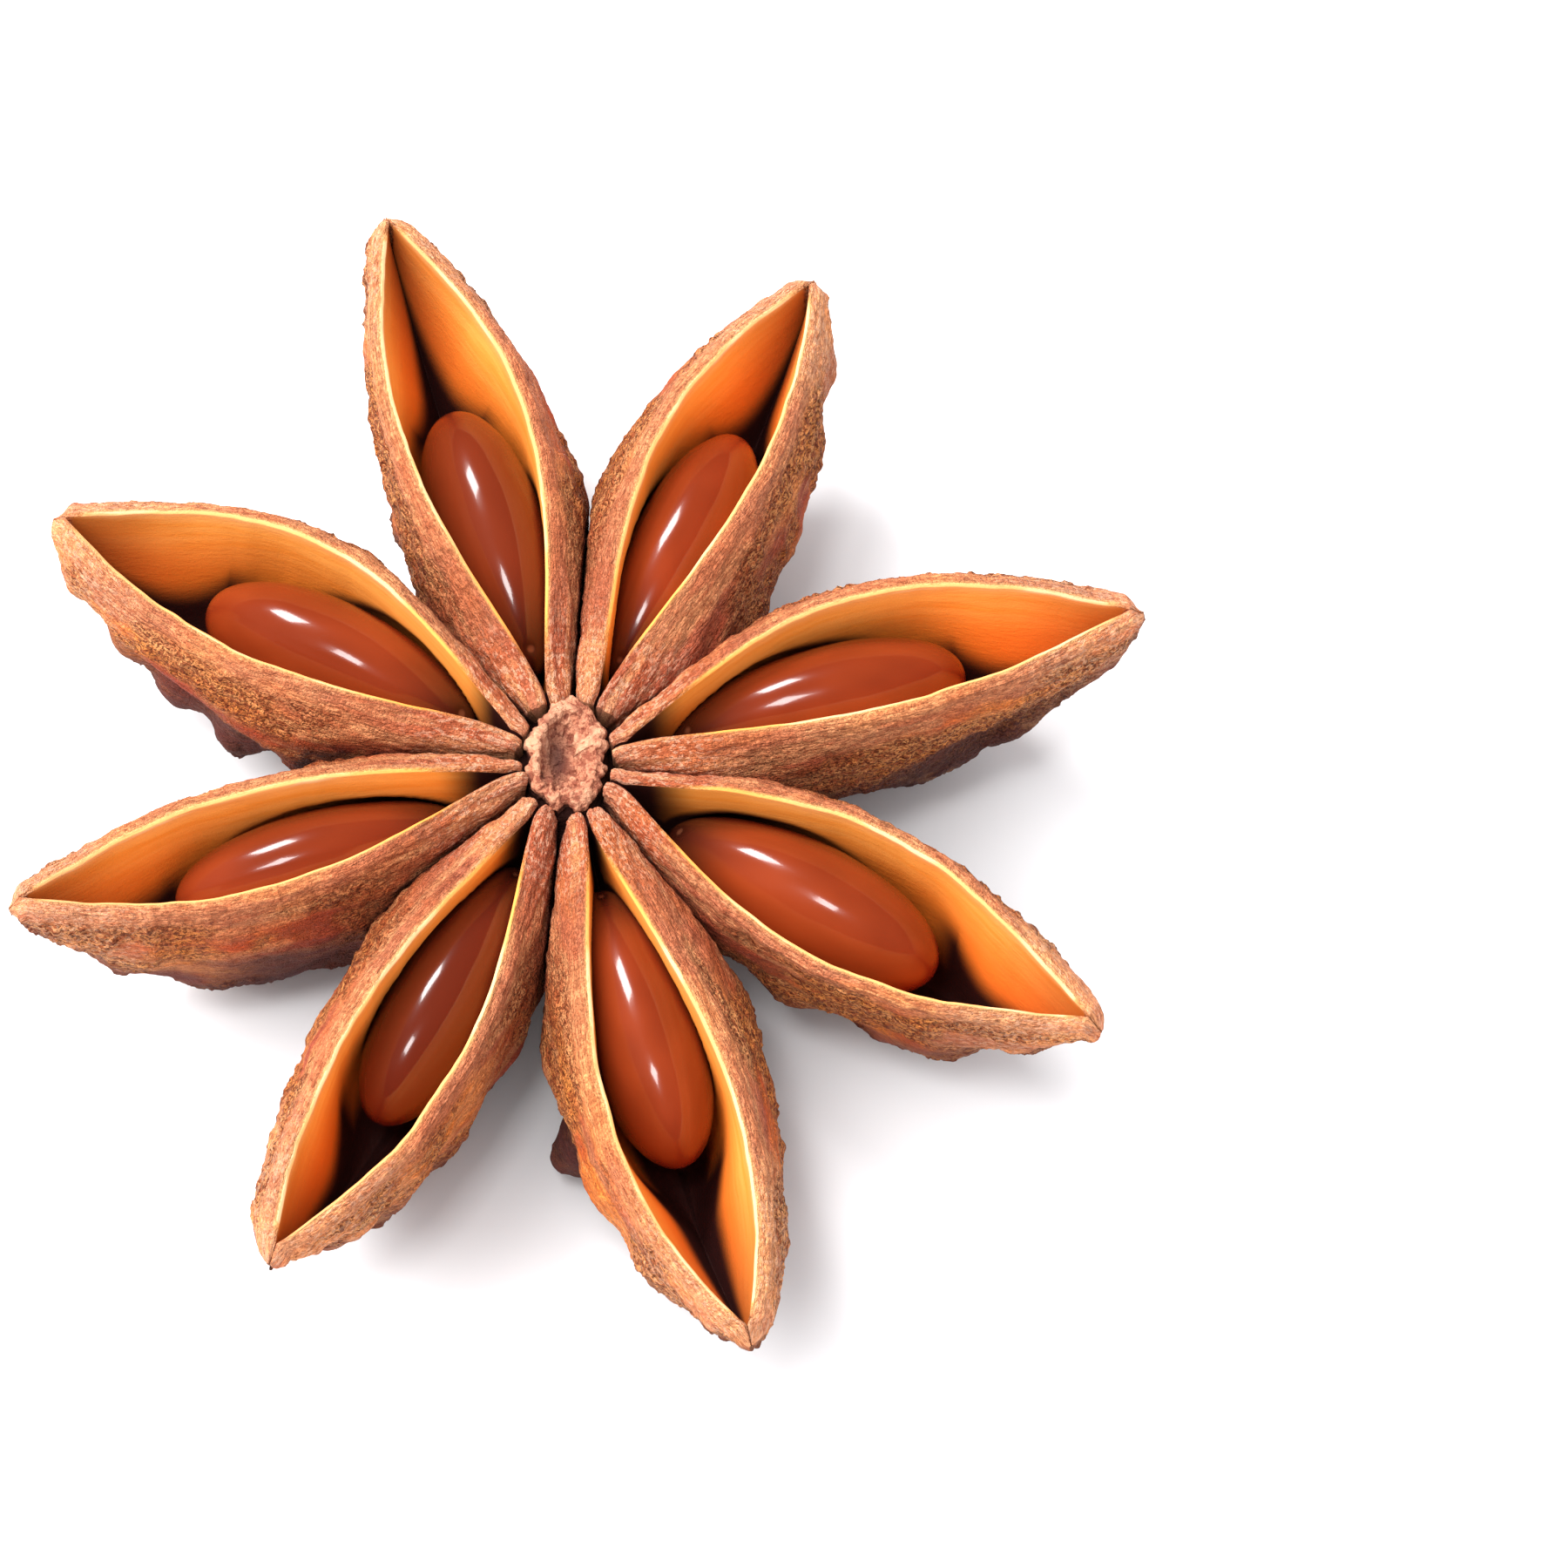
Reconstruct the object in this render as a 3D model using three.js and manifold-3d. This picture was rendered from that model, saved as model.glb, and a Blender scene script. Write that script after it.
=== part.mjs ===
// Star anise: a dried fruit of eight boat-shaped carpels fused round a short column. Each carpel
// has split open along its upper edge, and one polished seed lies in it. The fruit rests open side
// up on its keels and on the scar of its stalk.
// Millimetres, +Z up. The origin is the middle of the stalk scar, on the plane the fruit rests on.

import * as THREE from 'three';
import { mergeVertices } from 'three/addons/utils/BufferGeometryUtils.js';
import Module from 'manifold-3d';

// ---------------------------------------------------------------- driving dimensions, mm

// Lips: the two pale edges of a mouth.
const RIM_HEIGHT = 7.0; // their height where they meet the column
const LIP_ARCH = 0.55; // how much higher they run at mid length
const BEAK_LIFT = 0.35; // how much they turn up at the beak
const BEAK_LIFT_POWER = 6; // how late that turn comes
const LIP_WIDTH = 0.42;
const LIP_BEVEL = 0.1; // the outer edge is this much lower than the inner edge
const END_DROP = 0.45; // their rounded inner ends fall by this much
const END_LENGTH = 0.4; // within this length

// Mouth: it opens from a shut seam beside the column and closes again at the beak.
const SEAM_LENGTH = 0.5;
const SEAM_HALF_WIDTH = 0.045;
const MOUTH_FULLNESS = 2.5; // 2 is nearly a lens, more is slimmer at both ends

// Body: the outer wall of a carpel, from its lips to its keel.
const BEAK_LENGTH = 0.5; // solid beak beyond the end of the mouth
const BEAK_DROP = 0.55; // how far the back of the beak falls
const BEAK_DEPTH = 0.4; // height of the wall that is left at the very end
const TAPER_START = 8.5; // distance from the axis at which the body starts to narrow
const TAPER_POWERS = [2.0, 0.72];
const SHOULDER_DEPTH = 0.36; // depth of the widest place, as a share of the height there
const SHOULDER_POWER = 0.9; // how straight the wall runs from lip to shoulder
const UNDERSIDE_POWERS = [1.6, 0.8]; // how the wall draws in from shoulder to keel
const EDGE_LIMIT = 0.6; // a lip takes at most this share of the narrow body at the beak
const KEEL_LOWEST = 8.0; // distance from the axis at which a keel is lowest
const KEEL_DIP = -0.12; // height of the keel there, before the base is cut flat
const KEEL_BASE_RISE = 0.7; // how much higher the keel is at the column
const KEEL_SWEEP = 2.5; // how late the keel sweeps up to the beak
const WALL_OVERLAP = 0.12; // neighbours run this far into each other, so that they are one piece
const CLAMP_ROUNDING = 0.3; // radius with which a wall turns along its neighbour
const ROLL_START = 1.0; // a rolled carpel is upright at the column and leans from here
const ROLL_END = 3.6;

// Hollow: a rounded trough that holds the seed and runs out to the beak as a groove.
const HOLLOW_DEPTH = 5.7;
const HOLLOW_SHARE = 0.8; // at most this share of the body's height
const HOLLOW_LEAST = 0.12;
const HOLLOW_RUN_OUT = 0.36; // how steeply its floor rises at both ends
const HOLLOW_SWELL = 0.5; // how much wider than its mouth it is, on each side
const SWELL_RUN_OUT = 0.4;
const TROUGH_POWERS = [3, 0.5];
const GROOVE_POWER = 1.3;
const GROOVE_START = 10.5;
const GROOVE_END = 14;

// Seeds: ellipsoids, a little thinner towards the column.
const SEED_LENGTH = 8.8;
const SEED_WIDTH = 3.4;
const SEED_HEIGHT = 4.2;
const SEED_TAPER = 0.2;
const SEED_ROOM = 0.3; // free room round a seed in its hollow
const SEED_TOP = 0.75; // how far the top of a seed lies below the lips
const WIDE_MOUTH = 1.75; // half width of the mouth that a full-sized seed fills
const THIN_SEED = 0.55; // thickness of a seed under a shut mouth, as a share of the full size
const BEND_SHARE = 0.9; // a seed lies this far along the bow of its carpel

// Column: its top is an oval with a sunken crater, and the stalk's scar is below.
const COLUMN_HALF_X = 1.2;
const COLUMN_HALF_Y = 1.7;
const COLUMN_GAP = 0.16; // the crack round the column
const SCAR_RADIUS = 1.3;
const CORE_RADIUS = 2.3; // the carpels are fused to this, out of sight
const CORE_TOP = 5.0;
const COLUMN_FOOT = 5.9;

// A torn flap of husk stands out low on the right side of one carpel.
const FLAP_DISTANCE = 9.9; // from the axis to its middle
const FLAP_LENGTH = 1.3;
const FLAP_SHARE = 0.74; // its depth on the wall, as a share of the height
const FLAP_HEIGHT = 0.13;

// On two carpels a wall is scooped out below its shoulder, which leaves a ridge above the keel.
const SCOOP_SHARE = 0.42; // its depth on the wall, as a share of the height
const SCOOP_HEIGHT = 0.14;

// Crags: long waves over the outer walls.
const CRAG_WAVES = 9;
const CRAG_HEIGHT = 0.17;
const CRAG_SHORTEST = 1.9;
const CRAG_LONGEST = 4.6;
const CRAG_START = 3; // none where the carpels touch
const CRAG_FULL = 7;
const CRAG_TOP = 0.1; // the upper walls are smooth, and crags grow with the depth from here
const CRAG_BOTTOM = 0.7; // to here, as shares of the height
const CRAG_BEAK_SHARE = 0.4; // lower over the last of the beak
const CRAG_BEAK_LENGTH = 3;
const CRAG_KEEL_SHARE = 0.6; // how much of it goes up and down near the keel
const CRAG_SEED = 101;

// How finely the surfaces are divided.
const STATIONS = 26; // sections along a carpel
const STATION_EASING = 0.5; // 0 spaces them evenly, more brings them together at both ends
const OUTER_SHARES = [0.94, 0.76, 0.56, SHOULDER_DEPTH, 0.13, 0]; // depths on the outer wall
const INNER_SHARES = [0, 0.3, 0.66, 0.92]; // depths in the hollow
const POLE_DEPTH = 0.3; // a carpel's two end points lie this far below its lips
const SEED_SEGMENTS = 14;
const SEED_RINGS = 9;
const COLUMN_SEGMENTS = 24;

// The carpels, anticlockwise. azimuth (degrees) and reach place the end of the mouth, mouth is its
// half width and peak where along it that is, bend bows it sideways, left and right are the half
// widths of the body as seen from the column, lift raises the left and the right lip at mid length,
// roll (degrees) leans the keel to the right, and seed is how far out the seed lies.
const CARPELS = [
  {
    azimuth: 15.5, reach: 16.8, mouth: 1.69, peak: 0.52, bend: 0.57,
    left: 3.15, right: 2.75, lift: [0.1, 0], roll: 0, seed: 7.65,
    scoop: { side: -1, distance: 13, length: 2.2, depth: 0.6 },
  },
  {
    azimuth: 65.3, reach: 16.6, mouth: 1.45, peak: 0.57, bend: 0.27,
    left: 3.15, right: 2.95, lift: [0, 0.1], roll: 0, seed: 7.95,
  },
  {
    azimuth: 107.5, reach: 18.0, mouth: 1.72, peak: 0.55, bend: -0.18,
    left: 2.65, right: 3.05, lift: [0.1, 0], roll: 0, seed: 8.2,
  },
  {
    azimuth: 153.0, reach: 16.4, mouth: 1.93, peak: 0.54, bend: -0.43,
    left: 3.6, right: 3.25, lift: [0, 0.2], roll: 0, seed: 7.65,
    scoop: { side: 1, distance: 11.5, length: 3, depth: 0.85 },
  },
  {
    azimuth: 196.7, reach: 16.1, mouth: 1.47, peak: 0.53, bend: 0.25,
    left: 2.5, right: 2.8, lift: [0, 0], roll: -3, seed: 7.45,
  },
  {
    azimuth: 242.4, reach: 17.2, mouth: 1.48, peak: 0.55, bend: 0.33,
    left: 2.45, right: 2.9, lift: [0, 0.1], roll: 5, seed: 7.35,
  },
  {
    azimuth: 286.4, reach: 18.4, mouth: 1.68, peak: 0.59, bend: -0.23,
    left: 3.2, right: 2.9, lift: [0, 0], roll: -2, seed: 7.85, flap: 1.3,
  },
  {
    azimuth: 330.6, reach: 17.0, mouth: 1.98, peak: 0.51, bend: -0.14,
    left: 3.0, right: 2.5, lift: [0.1, 0], roll: -5, seed: 7.65,
  },
];

// ---------------------------------------------------------------- helpers

const { degToRad } = THREE.MathUtils;
const clamp01 = (x) => Math.min(Math.max(x, 0), 1);
const bell = (x, middle, width) => Math.exp(-(((x - middle) / width) ** 2));

function smoothstep(from, to, x) {
  const t = clamp01((x - from) / (to - from));
  return t * t * (3 - 2 * t);
}

// The smaller of a and b, with the corner between them rounded.
function smoothMin(a, b, rounding) {
  const h = Math.max(rounding - Math.abs(a - b), 0) / rounding;
  return Math.min(a, b) - (h * h * rounding) / 4;
}

// A small seeded generator, so that every carpel has crags of its own and they never change.
function makeRandom(seed) {
  let state = seed;
  return () => {
    state = (Math.imul(state, 1664525) + 1013904223) >>> 0;
    return state / 2 ** 32;
  };
}

// Crags are a sum of sine waves that run across a wall in all directions.
function makeCrags(seed) {
  const random = makeRandom(seed);
  const waves = [];
  for (let i = 0; i < CRAG_WAVES; i += 1) {
    const wavelength = CRAG_SHORTEST + (CRAG_LONGEST - CRAG_SHORTEST) * random();
    const heading = Math.PI * random();
    const phase = 2 * Math.PI * random();
    waves.push({ wavelength, heading, phase });
  }
  return (along, across) => {
    let sum = 0;
    for (const { wavelength, heading, phase } of waves) {
      const way = along * Math.cos(heading) + across * Math.sin(heading);
      sum += Math.sin((2 * Math.PI * way) / wavelength + phase);
    }
    return (CRAG_HEIGHT * sum) / Math.sqrt(CRAG_WAVES / 2);
  };
}

// ---------------------------------------------------------------- the form of a carpel

// How thick a carpel's seed is, as a share of the full size.
const girthOf = (carpel) => THIN_SEED + (1 - THIN_SEED) * (carpel.mouth / WIDE_MOUTH);

// How much a lip is raised at mid length, on one side (+1 left, -1 right).
const liftOf = (carpel, side) => carpel.lift[side > 0 ? 0 : 1];

// Half width of the mouth at a share m of its length: it opens almost straight from the column and
// closes to a sharp point.
function mouthHalfWidth(carpel, m) {
  const { mouth, peak } = carpel;
  const rise = (m / peak) ** (MOUTH_FULLNESS * peak);
  const fall = ((1 - m) / (1 - peak)) ** (MOUTH_FULLNESS * (1 - peak));
  return mouth * rise * fall + SEAM_HALF_WIDTH;
}

// Height of the keel: a low boat's keel that sweeps up to the beak.
function keelHeight(u, end) {
  if (u < KEEL_LOWEST) {
    return KEEL_DIP + KEEL_BASE_RISE * ((KEEL_LOWEST - u) / KEEL_LOWEST) ** 2;
  }
  const sweep = (u - KEEL_LOWEST) / (end - KEEL_LOWEST);
  return KEEL_DIP + (RIM_HEIGHT - BEAK_DEPTH) * sweep ** KEEL_SWEEP;
}

// Everything that is the same all over one section, at the distance u from the axis.
function sectionAt(carpel, u, innerEnd) {
  const end = carpel.reach + BEAK_LENGTH;
  const mouthStart = innerEnd + SEAM_LENGTH;
  const m = clamp01((u - mouthStart) / (carpel.reach - mouthStart));
  const middle = Math.sin(Math.PI * m);
  const taper = clamp01((u - TAPER_START) / (end - TAPER_START)) ** TAPER_POWERS[0];
  const innerDrop = END_DROP * clamp01((innerEnd + END_LENGTH - u) / END_LENGTH) ** 2;
  const beakDrop = BEAK_DROP * smoothstep(carpel.reach, end, u);
  const beakLift = BEAK_LIFT * m ** BEAK_LIFT_POWER;
  const calmBeak = (1 - CRAG_BEAK_SHARE) * smoothstep(end - CRAG_BEAK_LENGTH, end, u);
  return {
    u,
    middle,
    mouth: mouthHalfWidth(carpel, m),
    centre: carpel.bend * middle,
    body: (1 - taper) ** TAPER_POWERS[1],
    lip: RIM_HEIGHT + LIP_ARCH * middle + beakLift - innerDrop - beakDrop,
    keel: keelHeight(u, end),
    groove: smoothstep(GROOVE_START, GROOVE_END, u),
    roll: degToRad(carpel.roll) * smoothstep(ROLL_START, ROLL_END, u),
    crags: smoothstep(CRAG_START, CRAG_FULL, u) * (1 - calmBeak),
  };
}

// How far a scoop pushes the wall in.
function scoopedAt({ scoop }, side, u, share) {
  if (!scoop || scoop.side !== side) return 0;
  return scoop.depth * bell(u, scoop.distance, scoop.length) * bell(share, SCOOP_SHARE, SCOOP_HEIGHT);
}

// A point of the outer wall on one side at a share of the depth there: out from the lip to the
// shoulder like a quarter wave, then in to the keel.
function outerPoint(carpel, section, side, share, crags) {
  const lip = section.lip + liftOf(carpel, side) * section.middle - LIP_BEVEL;
  const widest = (side > 0 ? carpel.left : carpel.right) * section.body;
  const edge = Math.min(section.mouth + LIP_WIDTH, EDGE_LIMIT * (section.mouth + widest));
  let across;
  if (share < SHOULDER_DEPTH) {
    const out = Math.sin((Math.PI / 2) * (share / SHOULDER_DEPTH)) ** SHOULDER_POWER;
    across = edge + (widest - edge) * out;
  } else {
    const below = (share - SHOULDER_DEPTH) / (1 - SHOULDER_DEPTH);
    across = widest * (1 - below ** UNDERSIDE_POWERS[0]) ** UNDERSIDE_POWERS[1];
  }
  const depth = share * (lip - section.keel);
  const low = smoothstep(CRAG_TOP, CRAG_BOTTOM, share);
  const rough = section.crags * crags(section.u, side * (across + depth)) * low;
  const torn = side < 0 && carpel.flap
    ? carpel.flap * bell(section.u, FLAP_DISTANCE, FLAP_LENGTH) * bell(share, FLAP_SHARE, FLAP_HEIGHT)
    : 0;
  const relief = rough + torn - scoopedAt(carpel, side, section.u, share);
  const sag = CRAG_KEEL_SHARE * relief * smoothstep(0.5, 1, share);
  return { across: side * (across + relief), depth: depth + sag, lip };
}

// Half width of the room that a seed needs at the distance u and a depth below the lips.
function nestHalfWidth(carpel, u, depth) {
  const along = (u - carpel.seed) / (SEED_LENGTH / 2 + SEED_ROOM);
  const down = (depth - SEED_TOP - SEED_HEIGHT / 2) / (SEED_HEIGHT / 2 + SEED_ROOM);
  const widest = (girthOf(carpel) * SEED_WIDTH) / 2 + SEED_ROOM;
  return widest * Math.sqrt(Math.max(1 - along ** 2 - down ** 2, 0));
}

// A point of the hollow on one side at a share of its depth.
function innerPoint(carpel, section, side, share) {
  const lip = section.lip + liftOf(carpel, side) * section.middle;
  const deep = HOLLOW_DEPTH * section.middle ** HOLLOW_RUN_OUT;
  const room = Math.min(deep, HOLLOW_SHARE * (lip - section.keel)) + HOLLOW_LEAST;
  const swollen = (1 - section.groove) * section.middle ** SWELL_RUN_OUT;
  const swell = HOLLOW_SWELL * swollen * Math.sin(Math.PI * share);
  const trough = (1 - share ** TROUGH_POWERS[0]) ** TROUGH_POWERS[1];
  const wedge = 1 - share ** GROOVE_POWER;
  const across = (section.mouth + swell) * (trough + (wedge - trough) * section.groove);
  const depth = share * room;
  const nest = share < 1 ? nestHalfWidth(carpel, section.u, depth) : 0;
  const aside = nest > 0 ? side * (BEND_SHARE * carpel.bend - section.centre) : 0;
  return { across: side * Math.max(across, nest + aside), depth, lip };
}

// One section as a closed ring of points: from the keel up the right wall, down and up through the
// hollow, and down the left wall.
function ringOf(carpel, section, limits, crags) {
  const outer = (side) => (share) => outerPoint(carpel, section, side, share, crags);
  const inner = (side) => (share) => innerPoint(carpel, section, side, share);
  const ring = [
    outer(1)(1),
    ...OUTER_SHARES.map(outer(-1)),
    ...INNER_SHARES.map(inner(-1)),
    inner(1)(1),
    ...INNER_SHARES.map(inner(1)).reverse(),
    ...OUTER_SHARES.map(outer(1)).reverse(),
  ];
  const cos = Math.cos(section.roll);
  const sin = Math.sin(section.roll);
  return ring.map(({ across, depth, lip }) => {
    const leant = section.centre + across * cos - depth * sin;
    const lowered = depth * cos + across * sin;
    const limit = (leant > 0 ? limits.left : limits.right) * section.u + WALL_OVERLAP;
    const held = Math.sign(leant) * smoothMin(Math.abs(leant), limit, CLAMP_ROUNDING);
    return new THREE.Vector3(section.u, held, lip - lowered);
  });
}

// The distance from the axis at which a carpel starts, just outside the oval column.
function innerEndOf(azimuth) {
  const angle = degToRad(azimuth);
  const oval = Math.hypot(COLUMN_HALF_Y * Math.cos(angle), COLUMN_HALF_X * Math.sin(angle));
  return (COLUMN_HALF_X * COLUMN_HALF_Y) / oval + COLUMN_GAP;
}

// How fast the room beside a carpel widens with the distance from the axis: its neighbours are met
// halfway.
function limitsOf(index) {
  const count = CARPELS.length;
  const { azimuth } = CARPELS[index];
  const next = CARPELS[(index + 1) % count].azimuth;
  const previous = CARPELS[(index + count - 1) % count].azimuth;
  const halfway = (from, to) => Math.tan(degToRad(((to - from + 360) % 360) / 2));
  return { left: halfway(azimuth, next), right: halfway(previous, azimuth) };
}

// A carpel is a sphere's mesh whose rings of latitude become the sections, with its poles at the
// column and at the beak.
function carpelGeometry(index) {
  const carpel = CARPELS[index];
  const limits = limitsOf(index);
  const crags = makeCrags(CRAG_SEED + index);
  const innerEnd = innerEndOf(carpel.azimuth);
  const end = carpel.reach + BEAK_LENGTH;
  const points = 2 * (OUTER_SHARES.length + INNER_SHARES.length) + 2;
  const geometry = new THREE.SphereGeometry(1, points, STATIONS);
  const position = geometry.attributes.position;
  for (let row = 0; row <= STATIONS; row += 1) {
    const s = row / STATIONS;
    const eased = s - (STATION_EASING * Math.sin(2 * Math.PI * s)) / (2 * Math.PI);
    const section = sectionAt(carpel, innerEnd + (end - innerEnd) * eased, innerEnd);
    const ring = ringOf(carpel, section, limits, crags);
    const pole = new THREE.Vector3(section.u, 0, section.lip - POLE_DEPTH);
    const isPole = row === 0 || row === STATIONS;
    for (let column = 0; column <= points; column += 1) {
      const point = isPole ? pole : ring[column % points];
      position.setXYZ(row * (points + 1) + column, point.x, point.y, point.z);
    }
  }
  geometry.rotateZ(degToRad(carpel.azimuth));
  return geometry;
}

// ---------------------------------------------------------------- column and stalk

// The column is turned on a lathe, then its upper part is drawn out to an oval.
function columnGeometry() {
  const profile = [
    [0, -0.3],
    [SCAR_RADIUS, -0.3],
    [SCAR_RADIUS + 0.05, 0.7],
    [0.8 * CORE_RADIUS, 1.6],
    [CORE_RADIUS, 3.4],
    [CORE_RADIUS, CORE_TOP],
    [COLUMN_HALF_X, COLUMN_FOOT],
    [COLUMN_HALF_X, RIM_HEIGHT - 0.35],
    [0.8 * COLUMN_HALF_X, RIM_HEIGHT - 0.1],
    [0.6 * COLUMN_HALF_X, RIM_HEIGHT - 0.45],
    [0.3 * COLUMN_HALF_X, RIM_HEIGHT - 0.85],
    [0, RIM_HEIGHT - 0.95],
  ].map(([radius, height]) => new THREE.Vector2(radius, height));
  const geometry = new THREE.LatheGeometry(profile, COLUMN_SEGMENTS);
  geometry.rotateX(Math.PI / 2);
  const position = geometry.attributes.position;
  for (let i = 0; i < position.count; i += 1) {
    const drawn = smoothstep(CORE_TOP, COLUMN_FOOT, position.getZ(i));
    const stretch = 1 + (COLUMN_HALF_Y / COLUMN_HALF_X - 1) * drawn;
    position.setY(i, position.getY(i) * stretch);
  }
  return geometry;
}

// ---------------------------------------------------------------- solids

const wasm = await Module();
wasm.setup();

function solidOf(geometry) {
  const bare = geometry.clone();
  bare.deleteAttribute('normal');
  bare.deleteAttribute('uv');
  const merged = mergeVertices(bare);
  const mesh = new wasm.Mesh({
    numProp: 3,
    vertProperties: new Float32Array(merged.attributes.position.array),
    triVerts: new Uint32Array(merged.index.array),
  });
  return new wasm.Manifold(mesh);
}

function geometryOf(solid) {
  const mesh = solid.getMesh();
  const geometry = new THREE.BufferGeometry();
  geometry.setAttribute('position', new THREE.BufferAttribute(mesh.vertProperties, mesh.numProp));
  geometry.setIndex(new THREE.BufferAttribute(mesh.triVerts, 1));
  geometry.computeVertexNormals();
  return geometry;
}

// The carpels and the column are joined, and what reaches below the resting plane is cut off flat.
function huskGeometry() {
  let husk = solidOf(columnGeometry());
  CARPELS.forEach((carpel, index) => {
    husk = husk.add(solidOf(carpelGeometry(index)));
  });
  const below = new THREE.BoxGeometry(60, 60, 4);
  below.translate(0, 0, -2);
  return geometryOf(husk.subtract(solidOf(below)));
}

function seedGeometry(girth) {
  const geometry = new THREE.SphereGeometry(0.5, SEED_SEGMENTS, SEED_RINGS);
  geometry.rotateZ(Math.PI / 2);
  const position = geometry.attributes.position;
  for (let i = 0; i < position.count; i += 1) {
    const along = position.getX(i);
    const thickness = girth * (1 + SEED_TAPER * along);
    position.setX(i, along * SEED_LENGTH);
    position.setY(i, position.getY(i) * SEED_WIDTH * thickness);
    position.setZ(i, position.getZ(i) * SEED_HEIGHT * thickness);
  }
  geometry.computeVertexNormals();
  return geometry;
}

// ---------------------------------------------------------------- the model

const huskMaterial = new THREE.MeshStandardMaterial({ color: 0xa2683a, roughness: 0.75, metalness: 0 });
const husk = new THREE.Mesh(huskGeometry(), huskMaterial);
husk.name = 'husk';

const starAnise = new THREE.Group();
starAnise.add(husk);

// Each seed hangs from a group at the mouth of its carpel, which turns and leans as the carpel does.
CARPELS.forEach((carpel, index) => {
  const seedMaterial = new THREE.MeshStandardMaterial({ color: 0x7a3a16, roughness: 0.15, metalness: 0 });
  const seed = new THREE.Mesh(seedGeometry(girthOf(carpel)), seedMaterial);
  seed.name = `seed_${index + 1}`;
  seed.position.z = -SEED_TOP - SEED_HEIGHT / 2;
  const mouth = new THREE.Group();
  mouth.position.set(carpel.seed, BEND_SHARE * carpel.bend, RIM_HEIGHT + LIP_ARCH);
  mouth.rotation.x = -degToRad(carpel.roll);
  mouth.add(seed);
  const carpelFrame = new THREE.Group();
  carpelFrame.rotation.z = degToRad(carpel.azimuth);
  carpelFrame.add(mouth);
  starAnise.add(carpelFrame);
});

export default starAnise;
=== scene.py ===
# %% [markdown]
# # A star anise fruit
# A dried star anise fruit is a ring of boat-shaped carpels round a short column. Each carpel is
# split open along its top, and a polished seed lies in it. The imported model gives the plain solids.
# This lesson builds the same forms again as fine surfaces, with wrinkles, pits and crags, and gives
# them their dry bark, smooth orange hollows and glossy seeds.
#
# We start by loading the imported model. It fixes where everything is, so it is kept to compare the
# seeds with. Lengths below are in millimetres, and `MM` turns them into Blender's metres.

# %% Load the imported model
import math

import bpy
import numpy as np
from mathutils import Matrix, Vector


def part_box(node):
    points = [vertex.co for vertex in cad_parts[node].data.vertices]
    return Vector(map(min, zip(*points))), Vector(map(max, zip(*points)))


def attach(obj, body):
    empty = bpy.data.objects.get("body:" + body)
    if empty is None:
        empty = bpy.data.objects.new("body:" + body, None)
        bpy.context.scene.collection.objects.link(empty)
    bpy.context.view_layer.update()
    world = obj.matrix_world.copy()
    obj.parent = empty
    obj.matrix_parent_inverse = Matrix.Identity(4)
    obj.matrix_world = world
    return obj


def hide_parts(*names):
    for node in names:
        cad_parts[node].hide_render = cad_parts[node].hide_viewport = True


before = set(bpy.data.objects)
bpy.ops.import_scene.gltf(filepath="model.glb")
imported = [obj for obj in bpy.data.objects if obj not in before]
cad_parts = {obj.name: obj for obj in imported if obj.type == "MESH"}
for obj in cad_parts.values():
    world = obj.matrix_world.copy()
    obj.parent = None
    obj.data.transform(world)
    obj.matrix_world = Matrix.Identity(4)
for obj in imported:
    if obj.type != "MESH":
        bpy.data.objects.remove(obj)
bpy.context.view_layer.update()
MM = 0.001

# %% [markdown]
# ## Camera
# The fruit is seen from the front and well above, through a long lens, so it hardly narrows with
# distance. The camera is placed by the point it looks at, how steeply it looks down, and how far
# away it is. A long lens far away gives this calm view; a short lens close by would make the near
# carpels look huge.

# %% Camera
CAMERA_ELEVATION = math.radians(65)
CAMERA_DISTANCE = 260 * MM
CAMERA_AIM = Vector((6.225, -0.77, 6.64)) * MM
CAMERA_LENS = 208
CAMERA_SENSOR = 36
CAMERA_CLIP = (0.01, 20)  # nearest and farthest that it sees, in metres

camera_data = bpy.data.cameras.new("camera")
camera_data.lens = CAMERA_LENS
camera_data.sensor_width = CAMERA_SENSOR
camera_data.clip_start, camera_data.clip_end = CAMERA_CLIP
camera = bpy.data.objects.new("camera", camera_data)
to_camera = Vector((0, -math.cos(CAMERA_ELEVATION), math.sin(CAMERA_ELEVATION)))
camera.location = CAMERA_AIM + CAMERA_DISTANCE * to_camera
camera.rotation_euler = (math.pi / 2 - CAMERA_ELEVATION, 0, 0)
bpy.context.scene.collection.objects.link(camera)
bpy.context.scene.camera = camera
print("camera at, mm:", [round(value / MM, 1) for value in camera.location])

# %% [markdown]
# ## Light
# A white surround lights everything evenly, as a light tent does, and a large soft panel on the
# left gives the forms their light and dark sides. Neither shows in reflections, as if they were
# covered, because a polished seed would look milky with so much white in it. Two lamps are left for
# its highlights: a softbox behind and to the left draws the long one on every seed, and a small
# lamp nearly overhead adds the second glint.

# %% Light
LAMPS = [  # name, azimuth, elevation, distance and size in metres, power, shows in reflections
    ("softbox behind left", 122, 52, 0.6, 0.14, 1.6, True),
    ("small lamp overhead", -125, 76, 0.6, 0.12, 0.9, True),
    ("panel on the left", 168, 50, 0.8, 0.8, 11.0, False),
]
TENT_COLOUR = (0.975, 0.98, 1.0, 1)
TENT_STRENGTH = 1.0


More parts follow.
